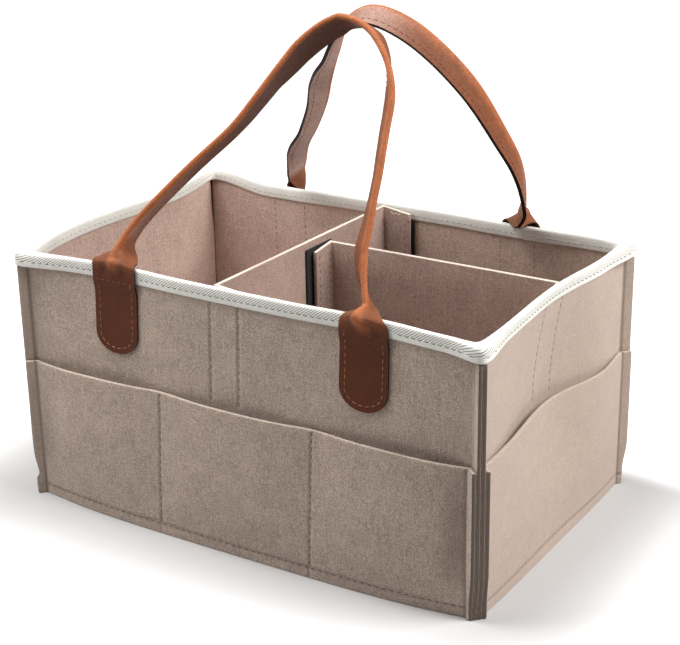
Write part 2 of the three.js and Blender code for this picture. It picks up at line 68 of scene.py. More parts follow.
# Sizes of the part that the dressing follows, in metres
HALF_LENGTH = 172 * MM
HALF_DEPTH = 105.5 * MM
RIM = 182 * MM
FELT = 2.8 * MM
TAPE_DROP = 10 * MM
TAB_OFFSET = 96.5 * MM
TAB_FOOT = 121 * MM
TAB_ROUND = 14 * MM
TAB_STEP = 10 * MM
HALF_STRAP = 17.5 * MM
HANDLE_RISE = 186 * MM
POCKET_HEIGHT = 102.5 * MM
POCKET_SEAM = 60 * MM
HEM = 7.5 * MM
FIN_ROOT = 3 * MM  # corner of the box to where the corner's seam begins
CORNER_RISE = 7 * MM  # how far the rear left corner of the rim stands up
TAPE_SEAM = RIM - 5.9 * MM
TAB_SEAM = 4 * MM  # rows of stitches in from the edge of the leather
TAB_SEAM_TOP = 170 * MM
LEAN = {"front": math.radians(27.63), "rear": math.radians(29.01)}
OUTWARD = {"front": -1, "rear": 1}
ON_FELT = 0.8 * MM  # face of the wall to the middle of a tab's leather
ON_TAPE = 2.75 * MM  # and where the tab lies on the tape

# Pairs of seams that hold the strips behind the walls: the middle of each pair and half its width
PAIRS = {"front": (-9.5 * MM, 11 * MM), "rear": (-2.5 * MM, 11 * MM), "right": (4 * MM, 11.5 * MM)}

# Each arch seen from the front: share of the tab offset, share of the rise, and the tip of the fold out of
# the arch in degrees
ARCH = {
    "front": [
        (-1, 0, 0), (-1.01, 0.04, -4), (-0.99, 0.1, -8), (-0.935, 0.16, -11), (-0.8, 0.26, -12),
        (-0.58, 0.405, -11), (-0.32, 0.563, -11), (-0.207, 0.663, -6), (-0.128, 0.739, -3),
        (-0.05, 0.815, 11), (0.03, 0.885, 22), (0.178, 0.96, 25), (0.262, 0.985, 22), (0.29, 0.992, 17),
        (0.32, 0.991, 10), (0.38, 0.987, 2), (0.446, 0.978, -4), (0.556, 0.949, -4), (0.664, 0.899, 9),
        (0.744, 0.848, 24), (0.81, 0.785, 38), (0.846, 0.72, 43), (0.856, 0.638, 42), (0.867, 0.557, 41),
        (0.88, 0.474, 40), (0.885, 0.391, 40), (0.9, 0.3, 46), (0.905, 0.227, 50), (0.93, 0.157, 42),
        (0.955, 0.1, 24), (0.99, 0.04, 6), (1, 0, 0),
    ],
    "rear": [
        (-1, 0, -8), (-0.955, 0.045, -20), (-0.9, 0.09, -28), (-0.78, 0.19, -35), (-0.667, 0.279, -32),
        (-0.54, 0.368, -26), (-0.359, 0.515, -30), (-0.258, 0.621, -38), (-0.185, 0.695, -30),
        (-0.1, 0.775, -14), (0.1, 0.94, 0), (0.33, 1, 4), (0.6, 0.95, 10), (0.92, 0.74, 9), (1.08, 0.48, -3),
        (1.13, 0.33, -12), (1.08, 0.14, -26), (1.01, 0.05, -12), (1, 0, 0),
    ],
}

HANDLES = ("front", "rear")
HANDS = ("left", "right")
UP = Vector((0, 0, 1))
SIDES = {
    "front": Vector((0, -1, 0)),
    "right": Vector((1, 0, 0)),
    "rear": Vector((0, 1, 0)),
    "left": Vector((-1, 0, 0)),
}
OUTSIDE = 300 * MM  # from the middle to where lines that look for outer faces start
INSIDE = 20 * MM  # and those that look for inner faces

base_low, base_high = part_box("base_panel")
MIDDLE = Vector(((base_low.x + base_high.x) / 2, (base_low.y + base_high.y) / 2, 0))
JOINTS = {joint["child"]: joint for joint in frame["joints"]}
HINGE = {side: Vector(JOINTS[f"{side}_handle"]["pos_m"]) for side in HANDLES}


def number(name, description, default, **settings):
    return FloatProperty(name=name, description=description, default=default, **settings)


def length(name, description, default):
    return number(name, description, default, unit="LENGTH", min=0)


def tint(name, description, default):
    settings = {"subtype": "COLOR", "min": 0, "max": 1, "default": default}
    return FloatVectorProperty(name=name, description="Colour of " + description, **settings)


class CaddyFelt(bpy.types.PropertyGroup):
    """Felt panels"""
    colour: tint("Felt", "the felt's outer faces", (0.43, 0.335, 0.275))
    # Painted light: the inner faces are a lighter, redder copy of the felt, standing in for the light bounced
    # about inside the box
    inner_tone_and_painted_light: tint("Felt inside", "the felt's inner faces", (0.54, 0.392, 0.323))
    divider_colour: tint("Dividers", "the dividers' felt", (0.365, 0.252, 0.207))
    # Painted highlight: the pale colour given to faces that look up, the cut edges on top, as if lit from
    # above
    edge_colour: tint("Cut edge", "the cut edges that face up", (0.76, 0.67, 0.57))
    edge_round: length("Edge rounding", "Rounding of the felt's cut edges", 0.7 * MM)


class CaddyTape(bpy.types.PropertyGroup):
    """Rim tape"""
    colour: tint("Tape", "the woven tape", (0.87, 0.855, 0.79))
    # Painted shade in the grooves between the ribs of the weave
    groove_shade_colour: tint("Groove", "the grooves between the ribs of the weave", (0.17, 0.165, 0.15))
    rib_pitch: length("Rib pitch", "Distance between ribs along the rim", 2.4 * MM)


class CaddyLeather(bpy.types.PropertyGroup):
    """Leather handles"""
    thickness: length("Leather", "Thickness of the leather", 1.25 * MM)
    tab_colour: tint("Tabs", "the leather on the walls", (0.09, 0.0235, 0.0088))
    strap_colour: tint("Straps", "the leather of the arches", (0.4, 0.13, 0.05))
    # Painted sheen: a pale reflection on the leaves of the left legs, and a painted highlight at the top of
    # the rear arch
    painted_sheen_colour: tint("Bloom", "the wax bloom", (0.66, 0.455, 0.385))
    # Painted shade on the front strap's left leaf and, on both straps, in the necks' dents
    painted_shade_colour: tint("Wax", "the front strap's dark leaf", (0.14, 0.078, 0.06))
    edge_colour: tint("Edge paint", "the painted edges", (0.016, 0.011, 0.01))


class CaddyThread(bpy.types.PropertyGroup):
    """Sewing thread"""
    thickness: length("Thread", "Thickness of the thread", 0.7 * MM)
    # Painted shade: thread made dark so that the stitches show as the shade of their needle holes in the felt
    felt_colour: tint("Felt thread", "thread sewn through the felt", (0.13, 0.1, 0.083))
    # Painted shade, fainter than on the felt thread, so the stitches of the strips and behind the tabs show
    # faintly
    strip_thread_shade_colour: tint("Strip thread", "thread that shows faintly on the walls", (0.24, 0.185, 0.15))
    # Painted light: a paler copy of the felt thread for the brightly lit right side, where the stitches
    # hardly show
    lit_side_thread_colour: tint("Soft thread", "thread that hardly shows on the right side", (0.35, 0.27, 0.22))
    tape_colour: tint("Tape thread", "thread sewn through the tape", (0.16, 0.155, 0.145))
    # Painted light: a paler copy of the tape thread for the inner face of the tape, standing in for the light
    # on that face
    lit_inside_thread_colour: tint("Inside thread", "thread on the inside of the tape", (0.5, 0.47, 0.43))
    tab_colour: tint("Tab thread", "thread sewn round the tabs", (0.4, 0.19, 0.085))
    strap_colour: tint("Strap thread", "thread sewn along the straps", (0.16, 0.05, 0.024))
    tack_colour: tint("Tack thread", "thread of the tack on a flange", (0.72, 0.62, 0.5))


class CaddyStage(bpy.types.PropertyGroup):
    """Floor, lamps and camera"""
    floor_colour: tint("Floor", "the floor", (0.56, 0.552, 0.548))
    floor_glow: number("Floor glow", "White added to the floor away from the caddy", 1)
    sky: number("Sky", "Strength of the even light from all round", 0.035)
    key: number("Key", "Power of the lamp on the right", 35, subtype="POWER")
    top: number("Top", "Power of the lamp overhead", 8.4, subtype="POWER")
    fill: number("Fill", "Power of the lamp on the left", 2.65, subtype="POWER")


class CaddySettings(bpy.types.PropertyGroup):
    """All the settings of the caddy"""
    felt: PointerProperty(type=CaddyFelt)
    tape: PointerProperty(type=CaddyTape)
    leather: PointerProperty(type=CaddyLeather)
    thread: PointerProperty(type=CaddyThread)
    stage: PointerProperty(type=CaddyStage)


class Value:
    """A shader socket that can be used in Python sums."""

    def __init__(self, finish, socket):
        self.finish = finish
        self.socket = socket

    def sum(self, operation, first, second):
        return self.finish.make("Math", {"operation": operation}, {0: first, 1: second})

    def __add__(self, other):
        return self.sum("ADD", self, other)

    def __sub__(self, other):
        return self.sum("SUBTRACT", self, other)

    def __rsub__(self, other):
        return self.sum("SUBTRACT", other, self)

    def __mul__(self, other):
        return self.sum("MULTIPLY", self, other)

    def __truediv__(self, other):
        return self.sum("DIVIDE", self, other)

    def __abs__(self):
        return self.sum("ABSOLUTE", self, 0)

    __radd__ = __add__


class Finish:
    """A material being made out of nodes."""

    def __init__(self, name, tree=None):
        if tree is None:
            self.material = bpy.data.materials.new(name)
            self.material.use_nodes = True
            tree = self.material.node_tree
        self.tree = tree
        self.tree.nodes.clear()

    def make(self, kind, settings=None, sockets=None, output=0):
        node = self.tree.nodes.new("ShaderNode" + kind)
        for key, value in (settings or {}).items():
            setattr(node, key, value)
        for key, value in (sockets or {}).items():
            if isinstance(value, Value):
                self.tree.links.new(value.socket, node.inputs[key])
            else:
                node.inputs[key].default_value = value
        return Value(self, node.outputs[output]) if len(node.outputs) else None

    def place(self, scale=None):
        place = self.make("TexCoord", output="Object")
        if scale is None:
            return place
        return self.make("Mapping", None, {"Vector": place, "Scale": scale})

    def axes(self, vector):
        return [self.make("SeparateXYZ", None, {0: vector}, axis) for axis in range(3)]

    def attribute(self, name):
        return self.make("Attribute", {"attribute_name": name}, None, "Fac")

    def noise(self, place, scale, detail=2, roughness=0.5):
        sockets = {"Vector": place, "Scale": scale, "Detail": detail, "Roughness": roughness}
        return self.make("TexNoise", None, sockets)

    def step(self, value, low, high):
        sockets = {"Value": value, "From Min": low, "From Max": high}
        return self.make("MapRange", {"interpolation_type": "SMOOTHSTEP"}, sockets)

    def mix(self, share, first, second):
        colours = [(*c, 1) if not isinstance(c, Value) else c for c in (first, second)]
        sockets = {0: share, 6: colours[0], 7: colours[1]}
        return self.make("Mix", {"data_type": "RGBA"}, sockets, 2)

    def tones(self, share, colour, dark, light):
        return self.mix(share, shade(colour, dark), shade(colour, light))

    def valley(self, value, middle, half=2.4 * MM):
        """1 along a line and 0 away from it."""
        return 1 - self.step(abs(value - middle), 0, half)

    def bump(self, height, strength, distance):
        sockets = {"Strength": strength, "Distance": distance, "Height": height}
        return self.make("Bump", None, sockets)

    def seen(self):
        """1 where the studio is seen straight or in a reflection."""
        camera = self.make("LightPath", output="Is Camera Ray")
        glossy = self.make("LightPath", output="Is Glossy Ray")
        return camera.sum("MAXIMUM", camera, glossy)

    def done(self, **sockets):
        names = {key: key.replace("_", " ") for key in sockets}
        shader = self.make("BsdfPrincipled", None, {names[k]: v for k, v in sockets.items()})
        self.make("OutputMaterial", None, {"Surface": shader})
        return self.material


def shade(colour, factor):
    return tuple(min(1, channel * factor) for channel in colour)


def seam_valleys(f, x, y, z):
    """Where the felt is pulled in by the hem, the pocket seams and the seams of the strips; the finish dents
    it there and paints shade into the dents.
    """
    fade = 3 * MM

    def pair(side, along, out, wall):
        middle, half = PAIRS[side]
        return f.valley(abs(along - middle), half) * f.step(out, wall, wall + fade)

    pocket = f.valley(abs(x), POCKET_SEAM) * f.step(abs(y), 100 * MM, 100 * MM + fade)
    pocket = pocket * (1 - f.step(z, POCKET_HEIGHT - fade, POCKET_HEIGHT))
    pairs = pair("front", x, 0 - y, 96 * MM) + pair("rear", x, y, 96 * MM)
    pairs = pairs + pair("right", y, x, 150 * MM) * 0.4
    above = f.step(z, POCKET_HEIGHT, POCKET_HEIGHT + fade) * (1 - f.step(z, RIM - 11 * MM, RIM - 9 * MM))
    return f.valley(z, HEM) + pocket + pairs * above


def felt_finish(look, inner_tone_and_painted_light, top_highlight_share):
    """Pressed felt: fine fibres on a faint grid, pulled in along its seams, with painted shade in the seams,
    at the fins' roots and on their end faces, a painted highlight on the cut edges that face up, grain
    flattened as painted glare on faces towards the key lamp, and inner faces painted lighter for the light
    inside the box.
    """
    f = Finish("felt")
    place = f.place()
    x, y, z = f.axes(place)
    valleys = seam_valleys(f, x - MIDDLE.x, y - MIDDLE.y, z)
    fine = 1150  # scale of the fibres
    long = 0.08  # and its share along the lines of the grid
    fibre = f.noise(place, fine, 3, 0.8)
    cloud = f.noise(place, 60, 3, 0.6)
    upright = f.noise(f.place((1, 1, long)), fine, 2, 0.5)
    level = f.noise(f.place((long, long, 1)), fine, 2, 0.5)
    share = f.step(fibre * 0.7 + cloud * 0.1 + upright * 0.12 + level * 0.08, 0.37, 0.63)
    sideways, _, upward = f.axes(f.make("TexCoord", output="Normal"))
    # Grain contrast is cut on faces that look towards +x: painted light, standing in for the glare of the key
    # lamp on that side
    wear_and_glare = 0.5 + (share - 0.5) * (1.3 - f.step(sideways, 0.2, 0.8) * 0.85)
    outer = f.tones(wear_and_glare, look.colour, 0.66, 1.34)
    inner = f.tones(share, inner_tone_and_painted_light, 0.64, 1.36)
    # Faces marked inner take the inner tone: on the walls and base the lighter copy of the felt, painted
    # light for the light inside the box; on the dividers their own colour
    colour = f.mix(f.attribute("inner"), outer, inner)
    # Painted shade on the end faces of the corner fins
    colour = f.mix(f.attribute("end") * 0.95, colour, shade(look.colour, 0.2))
    # Painted shade in the dents along the seams
    colour = f.mix(valleys * 0.22, colour, shade(look.colour, 0.45))
    # Painted shade in the fold where each corner fin leaves the wall
    root = ((abs(x - MIDDLE.x) - HALF_LENGTH) + (abs(y - MIDDLE.y) - HALF_DEPTH)) * math.sqrt(0.5)
    colour = f.mix(f.valley(root, FIN_ROOT, 1.8 * MM) * 0.6, colour, shade(look.colour, 0.3))
    # Painted highlight on faces that look up, such as the cut edges on top, standing in for light from above
    edge = f.step(upward, 0.55, 0.9) * (0.55 + fibre * 0.5) * top_highlight_share
    colour = f.mix(edge, colour, tuple(look.edge_colour))
    swell = f.noise(place, 24, 1, 0.4)
    height = swell * 1.3 + fibre * 0.2 + upright * 0.1 + level * 0.08 - valleys * 0.8
    return f.done(Base_Color=colour, Roughness=0.93 + fibre * 0.07, Normal=f.bump(height, 0.9, MM),
                  Sheen_Weight=0.12, Sheen_Roughness=0.6, Specular_IOR_Level=0.15)


def tape_finish(look, pitch):
    """Twilled tape: slanted ribs with painted shade in their grooves down to the seam, and a plain selvedge
    below it.
    """
    f = Finish("tape")
    run = f.make("UVMap", {"uv_map": "run"})
    along, down, _ = f.axes(run)
    depth = abs(down)
    grain = f.noise(f.place(), 900, 3, 0.6)
    wander = f.noise(f.place(), 160, 2, 0.5) - 0.5
    slant = (along + down * 1.4 + wander * (0.9 * MM)) / pitch
    phase = slant.sum("FRACT", slant, 0)
    ribbed = 1 - f.step(depth, 5.4 * MM, 6.2 * MM)
    crown = f.step(depth, 0.3 * MM, 1.6 * MM)
    inside = f.step(0 - down, 0, 1 * MM)
    # Painted shade in the grooves between the ribs, weaker near the fold and on the inner face
    groove = f.step(abs(phase - 0.5), 0.27, 0.43) * ribbed * (0.3 + crown * 0.7) * (1 - inside * 0.7)
    pick = slant.sum("SINE", along * (2 * math.pi / (0.55 * MM)), 0)
    thread = slant.sum("SINE", down * (2 * math.pi / (0.5 * MM)), 0)
    plain = (pick * thread) * (1 - ribbed)
    base = f.tones(grain, look.colour, 0.84, 1.1)
    # Darker worn patches at random
    wear_and_glare = f.mix(f.step(f.noise(f.place(), 45, 2, 0.6), 0.35, 0.75) * 0.25, base, shade(look.colour, 0.72))
    colour = f.mix(groove * 0.9, wear_and_glare, tuple(look.groove_shade_colour))
    height = (1 - groove) + plain * 0.2 + grain * 0.25
    return f.done(Base_Color=colour, Roughness=0.86 + grain * 0.1, Normal=f.bump(height, 0.55, 0.4 * MM),
                  Sheen_Weight=0.1, Specular_IOR_Level=0.2)


def leather_finish(look):
    """Waxed leather: dark on the walls and tan on the arches, with a pebbled grain, a painted highlight along
    the fold, painted sheen on the left legs and the rear arch's top, and painted shade on the front strap's
    left leaf and in the necks' dents.
    """
    f = Finish("leather")
    place = f.place()
    run = f.attribute("run")
    spine = f.attribute("spine")
    cloud = f.noise(place, 95, 4, 0.65)
    streak = f.noise(f.place((1, 1, 0.25)), 420, 3, 0.6)
    cells = f.make("TexVoronoi", {"feature": "DISTANCE_TO_EDGE"}, {"Vector": place, "Scale": 780})
    pore = f.step(cells, 0.0, 0.22)
    arch = f.step(run + cloud * (5 * MM), -6 * MM, 9 * MM)
    # Painted highlight: a lighter copy of the strap's colour towards the rounded spine, a darker copy on the
    # leaves
    spine_highlight_mask = f.step(spine + (cloud - 0.5) * 0.4, 0.5, 1.0)
    tab = f.tones(cloud, look.tab_colour, 0.6, 1.5)
    face = f.tones(cloud, look.strap_colour, 0.38, 0.78)
    spine_highlight = f.tones(cloud, look.strap_colour, 1.05, 1.55)
    strap = f.mix(spine_highlight_mask, face, spine_highlight)
    # Painted sheen and highlight
    strap = f.mix(f.attribute("bloom") * (0.65 + cloud * 0.4), strap, tuple(look.painted_sheen_colour))
    # Painted shade on the front strap's left leaf and in the necks' dents
    strap = f.mix(f.attribute("waxed") * (0.75 + cloud * 0.4), strap, tuple(look.painted_shade_colour))
    colour = f.mix(arch, tab, strap)
    colour = f.mix((1 - pore) * 0.34 + streak * 0.2, colour, shade(look.tab_colour, 0.55))
    height = pore * 0.6 + streak * 0.5 + cloud
    return f.done(Base_Color=colour, Roughness=0.46 + cloud * 0.2 + (1 - pore) * 0.12,
                  Normal=f.bump(height, 0.5, 0.3 * MM), Specular_IOR_Level=0.14,
                  Coat_Weight=arch * cloud * 0.08, Coat_Roughness=0.36)


def edge_finish(look):
    """Black paint on the cut edges of the leather, slightly uneven."""
    f = Finish("edge_paint")
    smear = f.noise(f.place(), 500, 3, 0.6)
    colour = f.tones(smear, look.edge_colour, 0.6, 2.2)
    return f.done(Base_Color=colour, Roughness=0.55 + smear * 0.2, Normal=f.bump(smear, 0.25, 0.2 * MM),
                  Specular_IOR_Level=0.12)


def strip_finish():
    """Black hook-and-loop: a tangle of fine loops."""
    f = Finish("hook_and_loop")
    place = f.place()
    loops = f.make("TexVoronoi", {"feature": "F1"}, {"Vector": place, "Scale": 1150})
    tangle = f.noise(place, 1900, 3, 0.7)
    nap = tangle + loops * 0.8
    colour = f.mix(f.step(nap, 0.5, 1.3), (0.004, 0.004, 0.004), (0.028, 0.027, 0.026))
    return f.done(Base_Color=colour, Roughness=0.8 + tangle * 0.2, Normal=f.bump(nap, 0.8, 0.5 * MM),
                  Sheen_Weight=0.05, Specular_IOR_Level=0.3)


def thread_finish(name, colour):
    """Twisted thread."""
    f = Finish(name)
    strand = f.noise(f.place(), 2600, 2, 0.5)
    tone = f.tones(strand, colour, 0.7, 1.3)
    return f.done(Base_Color=tone, Roughness=0.75 + strand * 0.15, Normal=f.bump(strand, 0.4, 0.15 * MM))


def only(obj):
    bpy.ops.object.select_all(action="DESELECT")
    obj.select_set(True)
    bpy.context.view_layer.objects.active = obj


def edit(obj):
    only(obj)
    bpy.ops.object.mode_set(mode="EDIT")
    bpy.ops.mesh.select_all(action="SELECT")


def leave():
    bpy.ops.object.mode_set(mode="OBJECT")


def merged_copy(node, name):
    """A CAD node's mesh as a new piece, with its points merged and its faces squared up."""
    obj = bpy.data.objects.new(name, frame["nodes"][node].data.copy())
    bpy.context.scene.collection.objects.link(obj)
    obj.data.materials.clear()
    edit(obj)
    bpy.ops.mesh.remove_doubles(threshold=0.005 * MM)
    bpy.ops.mesh.tris_convert_to_quads(face_threshold=math.radians(25), shape_threshold=math.radians(70))
    leave()
    bpy.ops.mesh.customdata_custom_splitnormals_clear()
    return obj


def apply(obj, *steps):
    """Adds modifiers in order, applies each, and shades the piece smooth."""
    only(obj)
    for kind, settings in steps:
        modifier = obj.modifiers.new(kind.lower(), kind)
        for key, value in settings.items():
            setattr(modifier, key, value)
        bpy.ops.object.modifier_apply(modifier=modifier.name)
    bpy.ops.object.shade_smooth()
    return obj


def rounding(width, angle=35, segments=2):
    limit = {"limit_method": "ANGLE", "angle_limit": math.radians(angle)}
    return "BEVEL", {"width": width, "segments": segments, **limit}


def smoothing(levels):
    return "SUBSURF", {"levels": levels, "render_levels": levels}


def dress(obj, material, body, slot, *nodes):
    obj.data.materials.append(material)
    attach(obj, body)
    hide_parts(*nodes)


def paint(mesh, name, values):
    """Writes one number per point, for a finish to read."""
    mesh.attributes.new(name, "FLOAT", "POINT").data.foreach_set("value", values)


def soft_step(value, low, high):
    share = min(1, max(0, (value - low) / (high - low)))
    return share * share * (3 - 2 * share)


def between(low, high, share):
    return low + (high - low) * share


def corner_rise(place):
    """How far a place on the walls is drawn up towards the rear left corner of the rim."""
    along_rear = soft_step(MIDDLE.x - place.x, TAB_OFFSET + HALF_STRAP + 4 * MM, HALF_LENGTH)
    along_left = soft_step(place.y - MIDDLE.y, -HALF_DEPTH, HALF_DEPTH)
    return CORNER_RISE * along_rear * along_left * soft_step(place.z, POCKET_HEIGHT, RIM - TAPE_DROP)


def hit(obj, start, way):
    """Where a straight line meets a piece, and the way the piece faces there."""
    found, place, normal, _ = obj.ray_cast(start, way)
    if not found:
        raise RuntimeError(f"no surface on {obj.name} from {start[:]}")
    return place, normal


# Rim path: a rectangle with rounded corners, counted leftwards from the middle of the rear side
RIM_ROUND = 11 * MM
QUARTER = RIM_ROUND * math.pi / 2
REACH_X = HALF_LENGTH + FELT / 2 - RIM_ROUND  # middle to where the corners begin
REACH_Y = HALF_DEPTH + FELT / 2 - RIM_ROUND
RIM_LENGTH = 4 * (REACH_X + REACH_Y + QUARTER)


def rim_sides():
    """Each side of the path: its start, half its length, how far out it turns, its way and the way out."""
    start = -REACH_X
    turns = [(REACH_X, REACH_Y), (REACH_Y, REACH_X)] * 2
    for side, (half, far) in zip(("rear", "left", "front", "right"), turns):
        out = SIDES[side]
        yield start, half, far, Vector((-out.y, out.x, 0)), out
        start += 2 * half + QUARTER


RIM_SIDES = list(rim_sides())


def rim_run(place):
    """How far along the rim path a place is."""
    for start, half, far, along, out in RIM_SIDES:
        ahead = place.dot(along)
        off = place.dot(out)
        if off > 0 and abs(ahead) <= half:
            return (start + half + ahead) % RIM_LENGTH
        if off > far and ahead > half:
            return start + 2 * half + math.atan2(ahead - half, off - far) * RIM_ROUND
    raise RuntimeError(f"no side of the rim at {place[:]}")


def rim_point(run):
    """The reverse of rim_run: a place on the rim path and the way out of the box there."""
    run = (run + REACH_X) % RIM_LENGTH - REACH_X
    for start, half, far, along, out in RIM_SIDES:
        ahead = run - start - half
        if ahead <= half:
            return out * (far + RIM_ROUND) + along * ahead, out
        if ahead <= half + QUARTER:
            turn = (ahead - half) / RIM_ROUND
            way = out * math.cos(turn) + along * math.sin(turn)
            return out * far + along * half + way * RIM_ROUND, way
    raise RuntimeError("the rim path does not close")


FELT_PANELS = [f"{side}_{part}" for part in ("wall", "pocket_panel") for side in SIDES]


class CADDY_OT_felt(bpy.types.Operator):
    """Model the felt walls, pocket panels, base and corner ends"""
    bl_idname = "caddy.felt"
    bl_label = "Felt panels"

    DRAWN_IN = 0.12  # share by which the corner seams are drawn in
    DRAWN_IN_LOW = 0.36  # what is added to it above the hem
    DRAWN_IN_HIGH = 0.5  # and under the tape
    LUMP = 0.3  # what is taken off it at the left feet, which leaves a lump

    def execute(self, context):
        look = context.scene.caddy.felt
        # The walls and pockets get 0.3 of the painted highlight on faces that look up
        felt = felt_finish(look, look.inner_tone_and_painted_light, 0.3)
        for node in FELT_PANELS:
            obj = merged_copy(node, "felt_" + node)
            apply(obj, rounding(look.edge_round), smoothing(2))
            self.tuck_corners(obj.data)
            outward = SIDES[node.split("_")[0]]
            points = obj.data.vertices
            inside = [self.reach(v.co) < 0 and v.normal.dot(outward) < -0.2 for v in points]
            # Marks the walls' inner faces, which the finish paints with the lighter copy of the felt
            paint(obj.data, "inner", [1 if "wall" in node and inner else 0 for inner in inside])
            # Marks the end faces of the corner fins, which the finish paints with shade
            paint(obj.data, "end", [soft_step(self.corner(v.co).dot(v.normal), 0.8, 0.95) for v in points])
            dress(obj, felt, "caddy_body", "felt", node)
        floor = apply(merged_copy("base_panel", "felt_base"), rounding(look.edge_round), smoothing(1))
        # The base lies inside the box and takes the lighter, painted copy all over
        paint(floor.data, "inner", [1] * len(floor.data.vertices))
        dress(floor, felt_finish(look, look.inner_tone_and_painted_light, 0), "caddy_body", "felt", "base_panel")
        return {"FINISHED"}

    def corner(self, place):
        """The way out of the nearest corner of the box."""
        way = Vector((math.copysign(1, place.x - MIDDLE.x), math.copysign(1, place.y - MIDDLE.y), 0))
        return way.normalized()

    def reach(self, place):
        """How far out a place is along the corner's seam, or less than 0 away from the corners."""
        way = self.corner(place)
        post = MIDDLE + Vector((math.copysign(HALF_LENGTH, way.x), math.copysign(HALF_DEPTH, way.y), place.z))
        return (place - post).dot(way) - FIN_ROOT

    def tuck_corners(self, mesh):
        """Draws the corner seams in, most of all above the hem and under the tape, and raises the rim."""
        for vertex in mesh.vertices:
            height = vertex.co.z
            low = 1 - soft_step(height, 11 * MM, 34 * MM)
            lump = 1 - soft_step(height, 6 * MM, 11 * MM) if vertex.co.x < 0 else 0
            high = soft_step(height, RIM - TAPE_DROP - 1 * MM, RIM - TAPE_DROP + 3 * MM)
            share = self.DRAWN_IN + low * (self.DRAWN_IN_LOW - self.LUMP * lump) + high * self.DRAWN_IN_HIGH
            raised = corner_rise(vertex.co)
            vertex.co -= self.corner(vertex.co) * max(0, self.reach(vertex.co)) * share
            vertex.co.z += raised
        mesh.update()


class CADDY_OT_tape(bpy.types.Operator):
    """Model the tape folded over the rim, with its weave laid along the rim"""
    bl_idname = "caddy.tape"
    bl_label = "Rim tape"

    def execute(self, context):
        look = context.scene.caddy.tape
        tape = merged_copy("rim_binding", "rim_tape")
        apply(tape, rounding(0.3 * MM, 100), smoothing(2))
        self.lay_weave(tape.data)
        for vertex in tape.data.vertices:
            vertex.co.z += corner_rise(vertex.co)
        pitch = RIM_LENGTH / round(RIM_LENGTH / look.rib_pitch)
        dress(tape, tape_finish(look, pitch), "caddy_body", "tape", "rim_binding")
        return {"FINISHED"}

    def lay_weave(self, mesh):
        """Lays a map on the tape: the distance along the rim, and down from it, less than 0 on the inside."""
        layer = mesh.uv_layers.new(name="run")
        runs = []
        downs = []
        for vertex in mesh.vertices:
            runs.append(rim_run(vertex.co - MIDDLE))
            way = rim_point(runs[-1])[1]
            downs.append(math.copysign(max(0, RIM - vertex.co.z), vertex.normal.dot(way)))
        for face in mesh.polygons:
            low = min(runs[v] for v in face.vertices)
            outer = sum(downs[v] for v in face.vertices) >= 0
            for loop in face.loop_indices:
                vertex = mesh.loops[loop].vertex_index
                run = runs[vertex]
                if run - low > RIM_LENGTH / 2:
                    run -= RIM_LENGTH
                down = abs(downs[vertex]) if outer else -abs(downs[vertex])
                layer.data[loop].uv = (run, down)


def spline(points, share):
    """A smooth curve through points, at a share of the way through their list."""
    index = min(int(share * (len(points) - 1)), len(points) - 2)
    part = share * (len(points) - 1) - index
    before = points[index - 1] if index > 0 else 2 * points[0] - points[1]
    after = points[index + 2] if index + 2 < len(points) else 2 * points[-1] - points[-2]
    run = [before, points[index], points[index + 1], after]
    gaps = [math.sqrt(max((run[i + 1] - run[i]).length, 1e-6)) for i in range(3)]
    first, last = [
        ((b - a) / near - (c - a) / (near + far) + (c - b) / far) * gaps[1]
        for a, b, c, near, far in (run[:3] + gaps[:2], run[1:] + gaps[1:])
    ]
    square, cube = part * part, part * part * part
    return (run[1] + first * part + (run[2] * 3 - run[1] * 3 - first * 2 - last) * square
            + (run[1] * 2 - run[2] * 2 + first + last) * cube)


